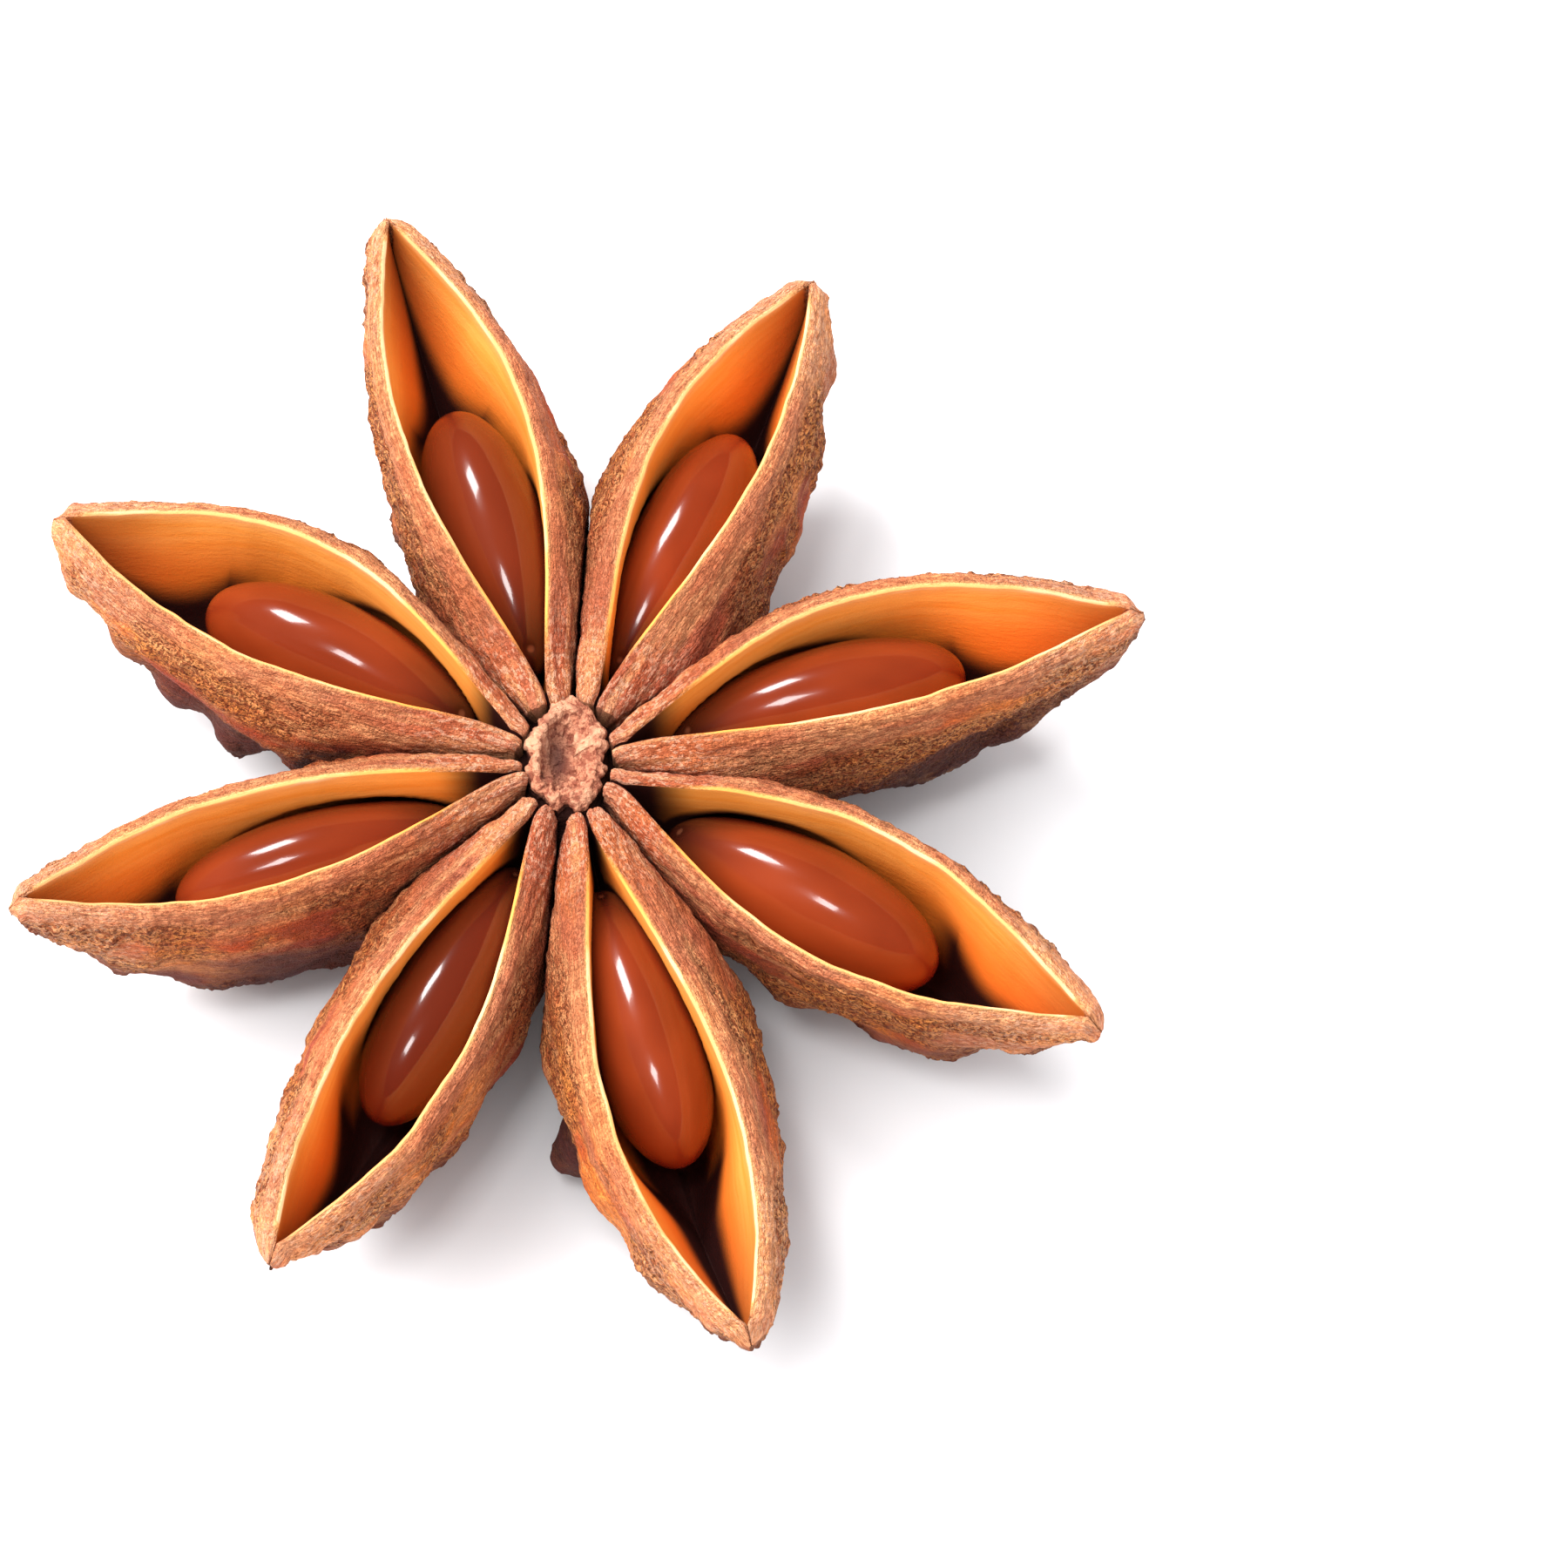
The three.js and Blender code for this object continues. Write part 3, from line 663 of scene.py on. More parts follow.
# %% Coordinates and marks of the skin
FLOW_APART = (20.0, 47.0)  # how far apart in the noise two walls lie, and two carpels
MARK_APART = 47.0
MARK_OCTAVES = 3
MARKS = {  # the size of a patch, how far it is drawn out, its soft edge, its level and its seed
    "blotch": (1.5, 2.2, 0.45, 0.0, 201),
    "rose": (0.75, 4.5, 0.4, 0.05, 211),
    "pale": (0.35, 7.0, 0.3, 0.2, 221),
    "corky": (1.1, 1.8, 0.4, -0.15, 231),
}
MARKS_ALONG_LIPS = ("pale",)
CORK_OFF_COLUMN = (3.0, 8.0)
CORK_OFF_LIP = (0.1, 0.7)


def flow_of(index, place, ring):
    """Coordinates that follow the skin: the distance from the axis, the distance from the outer
    edge of the nearer lip measured along the ring, and a number of its own for each wall."""
    steps = np.linalg.norm(np.diff(place, axis=1), axis=-1)
    run = np.concatenate([np.zeros((len(place), 1)), np.cumsum(steps, axis=1)], axis=1)
    right_edge, left_edge = OUTER_POINTS - 1, run.shape[1] - OUTER_POINTS + 1
    edge = np.where(ring["side"] < 0, run[:, [right_edge]], run[:, [left_edge]])
    own = FLOW_APART[0] * ring["side"] + FLOW_APART[1] * index
    return np.stack([place[..., 0], np.abs(run - edge), own], axis=-1)


def streaks(place, cell, stretch, softness, level, seed):
    """Patches drawn out along the carpel, as a mask from 0 to 1: noise with the lengthwise
    coordinate divided by the stretch."""
    noise = fractal_noise(place / np.array([stretch, 1, 1]), cell, MARK_OCTAVES, seed)
    return smoothstep(level - softness, level + softness, noise)


def skin_marks(index, place, flow):
    """The broad patches of the skin. Cork keeps clear of the column and of the lips."""
    own = place + MARK_APART * (index + 1)
    marks = {}
    for name, values in MARKS.items():
        marks[name] = streaks(flow if name in MARKS_ALONG_LIPS else own, *values)
    clear = smoothstep(*CORK_OFF_COLUMN, flow[..., 0])
    marks["corky"] = marks["corky"] * clear * smoothstep(*CORK_OFF_LIP, flow[..., 1])
    return marks


print("marks:", list(MARKS))

# %% [markdown]
# ## Fine relief of the skin
# Dried skin has wrinkles that run lengthwise near the column, grains and pits on the walls, and
# lumps on the keel. Each is a noise of its own scale, strong where it belongs, and the surface is
# pushed along its own normal by their sum. Doing this in the mesh rather than only in the material
# gives true, uneven outlines. The smooth hollow gets hardly any.

# %% Fine relief
RELIEF_APART = np.array([37.1, 11.9, 5.3])
GRAIN_HEIGHT, GRAIN_NOISE = 0.045, (0.5, 4, 11)  # each noise has its cell, octaves and seed
WRINKLE_HEIGHT, WRINKLE_NOISE = 0.07, (0.42, 3, 21)
WRINKLE_STRETCH = 6
WRINKLE_SLANT = 0.2
WRINKLE_LEAST = 0.5
WRINKLE_END = (0.8, 1)
CORK_HEIGHT, CORK_NOISE = 0.03, (0.24, 2, 27)
LUMP_HEIGHT, LUMP_NOISE = 0.16, (1.5, 2, 31)
LUMP_SHARES = (0.45, 0.75)
PIT_DEPTH, PIT_NOISE = 0.07, (0.32, 2, 42)
PIT_LEVELS = (0.3, 0.7)
SILK_HEIGHT, SILK_NOISE = 0.01, (0.8, 2, 51)
FAR_OUT = (3.5, 8)
UPPER_SKIN = (1.2, 3.5)
LIP_SHARE = 0.75
LIP_CALM = (0.5, 0.85)
WALL_EDGE = 0.08


def grid_normals(place):
    """Unit normals of a grid whose rows are closed rings: the cross product of the steps round the
    ring and along the carpel."""
    along = np.gradient(place, axis=0)
    around = (np.roll(place, -1, axis=1) - np.roll(place, 1, axis=1)) / 2
    normal = np.cross(around, along)
    return normal / np.maximum(np.linalg.norm(normal, axis=-1, keepdims=True), 1e-9)


def skin_relief(index, place, ring, flow, corky):
    """How far each point of a carpel is pushed out, in millimetres: the sum of grains, wrinkles,
    cork, lumps and pits on the wall, a part of it on the lip, and a fine silk in the hollow."""
    own = place + RELIEF_APART * (index + 1)
    share, zone = ring["share"], ring["zone"]
    outer = zone == WALL
    far = smoothstep(*FAR_OUT, place[..., 0])
    upper = 1 - smoothstep(*UPPER_SKIN, ring["depth"])
    slanted = flow + WRINKLE_SLANT * flow[..., :1] * np.array([0, 1, 0])
    stretched = slanted / np.array([WRINKLE_STRETCH, 1, 1])
    grains = GRAIN_HEIGHT * fractal_noise(own, *GRAIN_NOISE)
    wrinkles = WRINKLE_HEIGHT * ridged_noise(stretched, *WRINKLE_NOISE)
    strength = (1 - WRINKLE_LEAST * far) * (WRINKLE_LEAST + (1 - WRINKLE_LEAST) * upper)
    wrinkles *= strength * (1 - outer * smoothstep(*WRINKLE_END, share))
    cork = CORK_HEIGHT * ridged_noise(own, *CORK_NOISE) * corky
    low = smoothstep(*LUMP_SHARES, share) * outer
    lumps = LUMP_HEIGHT * fractal_noise(own, *LUMP_NOISE) * low * far
    pits = -PIT_DEPTH * smoothstep(*PIT_LEVELS, fractal_noise(own, *PIT_NOISE)) * corky
    rough = grains + wrinkles + cork + lumps + pits
    silk = SILK_HEIGHT * fractal_noise(stretched, *SILK_NOISE)
    lip_rough = LIP_SHARE * rough * (1 - smoothstep(*LIP_CALM, share))
    edge_in = smoothstep(0, WALL_EDGE, share) * (1 - LIP_SHARE) + LIP_SHARE
    return np.where(outer, rough * edge_in, np.where(zone == LIP, lip_rough, silk))


def pushed_out(place, relief, ring):
    """The grid moved along its normals by the relief, but kept between its neighbours and above
    the plane that the fruit rests on."""
    moved = place + grid_normals(place) * relief[..., None]
    held = np.minimum(np.abs(moved[..., 1]), ring["limit"] - CRACK_HALF)
    moved[..., 1] = np.sign(moved[..., 1]) * held
    moved[..., 2] = np.maximum(moved[..., 2], 0)
    return moved


print("highest lumps, mm:", LUMP_HEIGHT, "highest wrinkles, mm:", WRINKLE_HEIGHT)

# %% [markdown]
# ## Closed meshes with values on them
# A piece is a tube of rings with a point at each end, so it closes without a seam. Turning it to
# its direction moves the mesh and leaves the object at the origin. The mesh also carries numbers
# and coordinates at each point. The material reads these, so its patterns stay on the skin however
# the piece is turned.

# %% Mesh tools
def closed_tube_faces(rows, columns):
    """Faces of a tube of rows x columns points, with a point at each end: quads between rings,
    and a fan of triangles at each end."""
    index = np.arange(rows * columns).reshape(rows, columns)
    after = np.roll(index, -1, axis=1)
    quads = np.stack([index[:-1], after[:-1], after[1:], index[1:]], axis=-1).reshape(-1, 4)
    first, last = rows * columns, rows * columns + 1
    start = np.stack([np.full(columns, first), after[0], index[0]], axis=-1)
    finish = np.stack([np.full(columns, last), index[-1], after[-1]], axis=-1)
    return [quads, start, finish]


def with_ends(grid):
    """A grid's points or values as one list, and after them the mean of its first and last ring."""
    flat = grid.reshape(-1, *grid.shape[2:])
    return np.concatenate([flat, grid[:1].mean(axis=1), grid[-1:].mean(axis=1)])


def add_values(piece, name, values):
    """Stores one number per point on the mesh, for its material to read."""
    attribute = piece.data.attributes.new(name, "FLOAT", "POINT")
    attribute.data.foreach_set("value", np.asarray(values, np.float32).ravel())


def add_place(piece, places):
    """Stores the coordinates that a material's patterns lie in: those that follow the skin on a
    carpel, and the place in millimetres, before it is turned, on the other pieces."""
    attribute = piece.data.attributes.new("place", "FLOAT_VECTOR", "POINT")
    attribute.data.foreach_set("vector", np.asarray(places, np.float32).ravel())


def turned(points, azimuth):
    """Points turned about the upright axis."""
    angle = math.radians(azimuth)
    cos, sin = math.cos(angle), math.sin(angle)
    turn = np.array([[cos, -sin, 0], [sin, cos, 0], [0, 0, 1]])
    return points @ turn.T


print("faces of a tube of 3 rings of 4:", [len(block) for block in closed_tube_faces(3, 4)])

# %% [markdown]
# ## Painted shade
# Shade is painted into the hollow: dark close round the seed, on the floor under it and on to the
# beak, and in the narrow seam beside the column. Shade is painted on the skin too: in the cracks
# between neighbours, down the end face of each finger, and on the undersides of a few carpels. All
# these are masks worked out from where a point lies.

# %% Painted shade
CREASE_START = 0.44
CREASE_NARROWING = 0.42
CREASE_POWERS = (0.6, 0.5)
CREASE_SOFTNESS = 0.24
CREASE_BEFORE = 1.2
CREASE_WIDER = {4: 0.22, 6: 0.12}  # carpels whose floor shows a wider painted shade, and by how much
FLOOR_SHADE = (0.7, 0.9)
FLOOR_SHADE_END = 2
SEED_SHADE = (1.02, 1.12)
SEAM_SHADE = (2.5, 3.9)
CONTACT_WIDTH = 0.07
CONTACT_DEPTHS = (0.1, 0.35)
END_FACE_START = 0.08
END_FACE_LENGTH = 0.3
END_FACE_DEPTHS = (0.3, 0.7)
# carpels with painted shade on one underside
SHADED_UNDERSIDES = {  # side, distance and length
    0: (RIGHT, 10.8, 4.2),
    3: (LEFT, 10.2, 3.6),
    4: (LEFT, 9.5, 2.6),
}
UNDERSIDE_SHADE_SHARES = (0.27, 0.38)
FLAP_SHADE = (0.05, 0.5)


def off_seed(carpel, u, ring):
    """How far each point lies from the middle of the seed, where 1 is the seed's own surface: the
    root of the sum of squares of its three distances, each over the seed's half size."""
    girth = girth_of(carpel)
    along = (u - carpel["seed"]) / (SEED_LENGTH / 2)
    down = (ring["depth"] - SEED_TOP - SEED_HEIGHT / 2) / (girth * SEED_HEIGHT / 2)
    aside = ring["across"] / (girth * SEED_WIDTH / 2)
    return np.sqrt(along**2 + down**2 + aside**2)


def shade_in_hollow(index, u, ring, beyond):
    """The darkest of three painted shades, on the floor beyond the seed, under it and close round it,
    plus the painted shade in the seam."""
    carpel, share = CARPELS[index], ring["share"]
    seed_end = carpel["seed"] + SEED_LENGTH / 2
    start = CREASE_START + CREASE_NARROWING * beyond ** CREASE_POWERS[0]
    start = start - CREASE_WIDER.get(index, 0) * beyond ** CREASE_POWERS[1]
    crease = smoothstep(start, start + CREASE_SOFTNESS, share)
    crease *= smoothstep(seed_end - CREASE_BEFORE, seed_end, u)
    before = 1 - smoothstep(seed_end, seed_end + FLOOR_SHADE_END, u)
    under_seed = smoothstep(*FLOOR_SHADE, share) * before
    near_seed = 1 - smoothstep(*SEED_SHADE, off_seed(carpel, u, ring))
    crease = np.maximum(crease, np.maximum(under_seed, near_seed))
    in_seam = 1 - smoothstep(*SEAM_SHADE, u)
    return np.clip(crease + in_seam, 0, 1) * (ring["zone"] == HOLLOW)


def crack_shade(carpel, u, ring, moved):
    """Painted shade: 1 where a wall meets the plane to its neighbour and down each finger's end face.
    """
    gap = ring["limit"] - CRACK_HALF - np.abs(moved[..., 1])
    crack_and_end_shade = 1 - smoothstep(0, CONTACT_WIDTH, gap)
    crack_and_end_shade *= smoothstep(*CONTACT_DEPTHS, ring["depth"]) * (ring["zone"] == WALL)
    from_end = u - inner_end_of(carpel["azimuth"])
    end_face = 1 - smoothstep(0, END_FACE_LENGTH, from_end - END_FACE_START)
    return np.maximum(crack_and_end_shade, end_face * smoothstep(*END_FACE_DEPTHS, ring["depth"]))


def shade_under_carpel(index, u, ring):
    """Painted shade: a bell along the carpel from a share of the wall down, and all of a torn flap.
    """
    share, side = ring["share"], ring["side"]
    dark = np.zeros(u.shape)
    if index in SHADED_UNDERSIDES:
        dark_side, distance, length = SHADED_UNDERSIDES[index]
        dark = bell(u, distance, length) * smoothstep(*UNDERSIDE_SHADE_SHARES, share) * (side == dark_side)
    if index in FLAPS:
        dark = smoothstep(*FLAP_SHADE, torn_and_scooped(index, RIGHT, u, share)) * (side < 0)
    return dark * (ring["zone"] == WALL)


print("dark undersides on carpels", [index + 1 for index in SHADED_UNDERSIDES])

# %% [markdown]
# ## The carpels
# Now everything comes together: the grid, its marks, its relief and its shades. Two more masks tell
# smooth wall from bark and pick out the lip's inner edge. Near the column and on the beak bark
# closes over the lips, so both masks fade there.

# %% Carpels
SEAM_LIP = (2.9, 4.8)
BEAK_SKIN = 0.7
CLOSED_LENGTH = 0.2
INSIDE_ON_LIP = (0.65, 0.9)
CREST_ON_LIP = (0.45, 0.82)
CREST_IN_HOLLOW = (0, 0.12)
RELIEF_UNIT = 0.1  # materials read the relief in tenths of a millimetre


def lip_masks(carpel, u, ring):
    """Smooth inner wall rather than bark, and nearness to the lip's inner edge."""
    reach, share = carpel["reach"], ring["share"]
    zones = [ring["zone"] == HOLLOW, ring["zone"] == LIP]
    open_mouth = smoothstep(*SEAM_LIP, u) * (1 - smoothstep(reach - BEAK_SKIN, reach, u))
    not_closed = 1 - smoothstep(reach - CLOSED_LENGTH, reach, u)
    inside = np.select(zones, [not_closed, smoothstep(*INSIDE_ON_LIP, share) * open_mouth], 0.0)
    fades = [1 - smoothstep(*CREST_IN_HOLLOW, share), smoothstep(*CREST_ON_LIP, share)]
    return inside, np.select(zones, fades, 0.0) * open_mouth


def build_carpel(index):
    """The finished mesh of one carpel, with all that its material reads."""
    carpel = CARPELS[index]
    place, ring = carpel_grid(index)
    u = place[..., 0]
    flow = flow_of(index, place, ring)
    marks = skin_marks(index, place, flow)
    relief = skin_relief(index, place, ring, flow, marks["corky"])
    moved = pushed_out(place, relief, ring)
    points = turned(with_ends(moved), carpel["azimuth"])
    piece = mesh_piece(f"carpel_{index + 1}", points, closed_tube_faces(*relief.shape))
    add_place(piece, with_ends(flow))
    seed_end = carpel["seed"] + SEED_LENGTH / 2
    beyond = np.clip((u - seed_end) / (carpel["reach"] - seed_end), 0, 1)
    inside, crest = lip_masks(carpel, u, ring)
    masks = {
        **marks,
        # painted shade: in the hollow, in the cracks and under a few carpels
        "hollow_shade": shade_in_hollow(index, u, ring, beyond),
        "crack_and_end_shade": crack_shade(carpel, u, ring, moved),
        "underside_shade": shade_under_carpel(index, u, ring),
        "inside": inside,
        "beyond": beyond,
        "crest": crest,
        "depth": ring["depth"],
        "share": np.where(ring["zone"] == WALL, ring["share"], 0.0),
        "relief": relief / RELIEF_UNIT,
        "along": u,
    }
    for name, values in masks.items():
        add_values(piece, name, with_ends(values))
    return piece


carpels = [build_carpel(index) for index in range(len(CARPELS))]
print("triangles of one carpel:", 2 * len(carpels[0].data.polygons))

# %% [markdown]
# ## The column
# The carpels sit round a short column. Its top is an oval with a ragged rim and a sunken crater,
# and below it widens inside the fruit and ends in the flat scar of the stalk. It is a profile
# carried round the axis, drawn out to an oval above, with noise that is strongest at the rim.

# %% Shape of the column
SCAR_RADIUS = 1.3
CORE_RADIUS = 2.3
CORE_TOP = 5.0
COLUMN_FOOT = 5.9
COLUMN_HALF_X = 1.2
COLUMN_PROFILE = np.array([  # radius and height of each corner, from the scar to the crater
    (0.0, 0.0),
    (SCAR_RADIUS, 0.0),
    (SCAR_RADIUS + 0.05, 0.7),
    (0.8 * CORE_RADIUS, 1.6),
    (CORE_RADIUS, 3.4),
    (CORE_RADIUS, CORE_TOP),
    (COLUMN_HALF_X, COLUMN_FOOT),
    (COLUMN_HALF_X, RIM_HEIGHT - 0.35),
    (0.8 * COLUMN_HALF_X, RIM_HEIGHT - 0.12),
    (0.6 * COLUMN_HALF_X, RIM_HEIGHT - 0.4),
    (0.3 * COLUMN_HALF_X, RIM_HEIGHT - 0.72),
    (0.0, RIM_HEIGHT - 0.8),
])
FOOT_CORNER, RIM_CORNER = 6, 8
COLUMN_ROWS = 150
LOW_ROWS = COLUMN_ROWS // 4
COLUMN_COLUMNS = 220


def column_rows():
    """How far along the profile each ring lies, closer together at the top, with the distance to
    each of the profile's corners."""
    steps = np.linalg.norm(np.diff(COLUMN_PROFILE, axis=0), axis=1)
    length = np.concatenate([[0], np.cumsum(steps)])
    low = np.linspace(0, length[FOOT_CORNER], LOW_ROWS, endpoint=False)[1:]
    high = np.linspace(length[FOOT_CORNER], length[-1], COLUMN_ROWS - len(low), endpoint=False)
    return np.concatenate([low, high])[:, None], length


print("length of the profile, mm:", round(column_rows()[1][-1], 2))

# %% [markdown]
# The relief of the column is coarse noise with sharp crests in it, and folds that run in from the
# rim like spokes. It is almost smooth below.

# %% Column
RIM_STRETCH = 1.5
RIM_SHIFT = 0.1
RIM_SHRINK = 0.08
RIM_RAGGEDNESS = 0.09
RIM_NOISE = (0.9, 3, 63)
RAGS_ROUND = 3
TOP_FULL = 0.6  # how far below the rim the marks of the top reach their full strength
CRATER_SHIFT = -0.15
CRATER_SHARES = (0.35, 0.85)
COLUMN_ROUGHNESS = 0.08
COLUMN_APART = 60
COLUMN_NOISE = (0.5, 4, 61)
COLUMN_CRESTS, CREST_NOISE = 0.6, (0.28, 2, 66)
COLUMN_LEAST = 0.15
SCAR_CALM = 0.3
FOLD_HEIGHT = 0.035
FOLDS_ROUND = 2.6
FOLD_NOISE = (1.0, 2, 68)
FOLD_RADII = (0.2, 0.7)
FLANK_DEPTHS = (0.55, 0.3)
# painted shadow in the crater: where it lies, how large it is, and how far above the foot it starts
DARK_PLACE = (-0.32, 0.15)
DARK_SIZE = (0.36, 0.9)
DARK_ABOVE = 0.1


def column_grid():
    """The profile carried round the axis: its radius times a cosine and a sine, made ragged at the
    rim, stretched to an oval above, with the crater shifted. Gives the places and the height of
    the relief on them."""
    run, length = column_rows()
    radius = np.interp(run, length, COLUMN_PROFILE[:, 0])
    height = np.interp(run, length, COLUMN_PROFILE[:, 1])
    angle = np.linspace(0, 2 * math.pi, COLUMN_COLUMNS, endpoint=False)[None, :]
    cos, sin = np.cos(angle), np.sin(angle)
    stretch = 1 + (RIM_STRETCH - 1) * smoothstep(CORE_TOP, COLUMN_FOOT, height)
    top = smoothstep(COLUMN_FOOT, RIM_HEIGHT - TOP_FULL, height)
    around = np.stack([RAGS_ROUND * cos, RAGS_ROUND * sin, 0 * angle], axis=-1)
    rags = RIM_RAGGEDNESS * top * fractal_noise(around, *RIM_NOISE)
    ragged = radius * (1 - RIM_SHRINK * top + rags)
    x, y = ragged * cos, ragged * sin * stretch
    place = np.stack([x, y, np.broadcast_to(height, x.shape)], axis=-1)
    sunken = 1 - smoothstep(*CRATER_SHARES, radius / COLUMN_HALF_X)
    place[..., 0] += CRATER_SHIFT * (top * sunken * (run > length[RIM_CORNER]))
    place[..., 1] += RIM_SHIFT * top
    own = place + COLUMN_APART
    rough = fractal_noise(own, *COLUMN_NOISE) + COLUMN_CRESTS * ridged_noise(own, *CREST_NOISE)
    rough *= (COLUMN_LEAST + (1 - COLUMN_LEAST) * top) * smoothstep(0, SCAR_CALM, height)
    spokes = np.broadcast_arrays(FOLDS_ROUND * cos, FOLDS_ROUND * sin, radius)
    folds = ridged_noise(np.stack(spokes, axis=-1), *FOLD_NOISE) * top
    folds = folds * smoothstep(*FOLD_RADII, radius)
    relief = COLUMN_ROUGHNESS * rough + FOLD_HEIGHT * folds
    # painted shade on the flank, down in the ring of fingers
    high, low = (RIM_HEIGHT - depth for depth in reversed(FLANK_DEPTHS))
    flank_shade = (1 - smoothstep(low, high, height)) * (run < length[RIM_CORNER])
    return place, relief, np.broadcast_to(flank_shade, relief.shape)


def build_column():
    """The column's mesh: the grid moved out by its relief, closed by the middles of the scar and
    of the crater's floor, with a painted shadow in the crater stored on it."""
    place, relief, flank_shade = column_grid()
    moved = place + grid_normals(place) * relief[..., None]
    moved[..., 2] = np.maximum(moved[..., 2], 0)
    ends = np.array([[0, 0, 0], [CRATER_SHIFT, RIM_SHIFT, moved[-1, :, 2].mean()]])
    points = np.concatenate([moved.reshape(-1, 3), ends])
    piece = mesh_piece("column", points, closed_tube_faces(*relief.shape))
    add_place(piece, points)
    off_x = (points[:, 0] - DARK_PLACE[0]) / DARK_SIZE[0]
    off_y = (points[:, 1] - DARK_PLACE[1]) / DARK_SIZE[1]
    above = smoothstep(COLUMN_FOOT, COLUMN_FOOT + DARK_ABOVE, points[:, 2])
    add_values(piece, "crater_shadow", bell(np.hypot(off_x, off_y), 0, 1) * above)
    for name, values in {"relief": relief / RELIEF_UNIT, "flank_shade": flank_shade}.items():
        add_values(piece, name, np.concatenate([values.ravel(), [0, 0]]))
    return piece


column = build_column()
print("column triangles:", 2 * len(column.data.polygons))

# %% [markdown]
# ## The seeds
# A seed is an ellipsoid, thinner towards the column, with a fine raised line along its top and a
# small pale knob at its inner end where it was attached. It lies in its hollow a little below the
# lips, and leans as its carpel does. A plain ellipsoid would look turned on a lathe, so very low
# dents bend its highlights a little.

# %% Shape of a seed
SEED_ROWS = 110
SEED_COLUMNS = 120
SEED_TAPER = 0.2
RIDGE_HEIGHT = 0.012
RIDGE_WIDTH = 0.05
RIDGE_TURN = 0.42
RIDGE_FADE = 0.5
KNOB_HEIGHT = 0.06
KNOB_WIDTH = 0.2
KNOB_PLACE = (-0.455, 0, 0.2)  # in shares of the seed's length, width and height
DENT_HEIGHT = 0.02
DENT_NOISE = (1.8, 2, 71)
DENT_APART = 23.0


def seed_grid(index):
    """Ellipsoid: x is a cosine along the seed, y and z a sine of it times the half width and half
    height, both thinned by a fifth of x. Gives the surface with its ridge, knob and dents, and how
    near to the knob each point lies."""
    theta = np.linspace(0, math.pi, SEED_ROWS + 2)[1:-1, None]
    phi = np.linspace(0, 2 * math.pi, SEED_COLUMNS, endpoint=False)[None, :]
    along = -np.cos(theta) / 2
    thickness = girth_of(CARPELS[index]) * (1 + SEED_TAPER * along)
    ring = np.sin(theta) / 2 * thickness
    x = np.broadcast_to(along * SEED_LENGTH, (SEED_ROWS, SEED_COLUMNS))
    y, z = ring * SEED_WIDTH * np.sin(phi), ring * SEED_HEIGHT * np.cos(phi)
    place = np.stack([x, y, z], axis=-1)
    from_top = np.angle(np.exp(1j * (phi - RIDGE_TURN)))
    ridge = RIDGE_HEIGHT * bell(from_top, 0, RIDGE_WIDTH) * np.sin(theta) ** RIDGE_FADE
    knob_centre = np.array(KNOB_PLACE) * (SEED_LENGTH, SEED_WIDTH, SEED_HEIGHT)
    knob = bell(np.linalg.norm(place - knob_centre, axis=-1), 0, KNOB_WIDTH)
    dents = DENT_HEIGHT * fractal_noise(place + DENT_APART * (index + 1), *DENT_NOISE)
    relief = ridge + KNOB_HEIGHT * knob + dents
    return place + grid_normals(place) * relief[..., None], knob


print("knob of seed 1, up to:", seed_grid(0)[1].max().round(2))

# %% [markdown]
# Each seed is hung from the level of the lips: turned over its long axis by the carpel's roll,
# moved out to its place in the hollow, and turned to the carpel's direction. We print how far its
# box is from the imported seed's, because the two have to lie in the same place.

# %% Seeds
SEED_APART = 20.0
DARKER_SEEDS = {2: 0.7, 4: 0.3, 5: 1.0}  # how much darker than the others a few seeds are


def build_seed(index):
    """The finished mesh of one seed, leaned, moved into its hollow and turned."""
    carpel = CARPELS[index]
    moved, knob = seed_grid(index)
    local = with_ends(moved)
    local[:, 2] -= SEED_TOP + SEED_HEIGHT / 2
    roll = -math.radians(carpel["roll"])
    cos, sin = math.cos(roll), math.sin(roll)
    lean = np.array([[1, 0, 0], [0, cos, -sin], [0, sin, cos]])
    hung = [carpel["seed"], BEND_SHARE * carpel["bend"], RIM_HEIGHT + LIP_ARCH]
    points = turned(local @ lean.T + np.array(hung), carpel["azimuth"])
    faces = closed_tube_faces(SEED_ROWS, SEED_COLUMNS)
    piece = mesh_piece(f"polished_seed_{index + 1}", points, faces)
    add_place(piece, local + SEED_APART * index)
    add_values(piece, "knob", np.concatenate([knob.ravel(), [1, 0]]))
    add_values(piece, "along", local[:, 0] / SEED_LENGTH + 0.5)
    add_values(piece, "darker", np.full(len(local), DARKER_SEEDS.get(index, 0)))
    return piece


seeds = [build_seed(index) for index in range(len(CARPELS))]
for index, seed in enumerate(seeds):
    packed = np.array(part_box(f"seed_{index + 1}"))
    points = np.array([vertex.co for vertex in seed.data.vertices])
    apart = np.abs(np.array([points.min(axis=0), points.max(axis=0)]) - packed).max()
    print(f"seed {index + 1} is within {apart / MM:.2f} mm of the packed one")

# %% [markdown]
# ## Node tools
# A material is a tree of nodes. These helpers place a node, set its sockets and link them in one
# line each, so that the recipes below can be read as recipes. `paint` turns the familiar 0-255
# colour values into the linear ones that Blender works with. `coats` lays thin coats of colour over
# a base, as a painter would, and `runs` gives masks that follow a value stored on the mesh.

# %% Node tools
MIX_FACTOR, MIX_FIRST, MIX_SECOND, MIX_RESULT = 0, 6, 7, 2  # a Mix node's sockets for colours


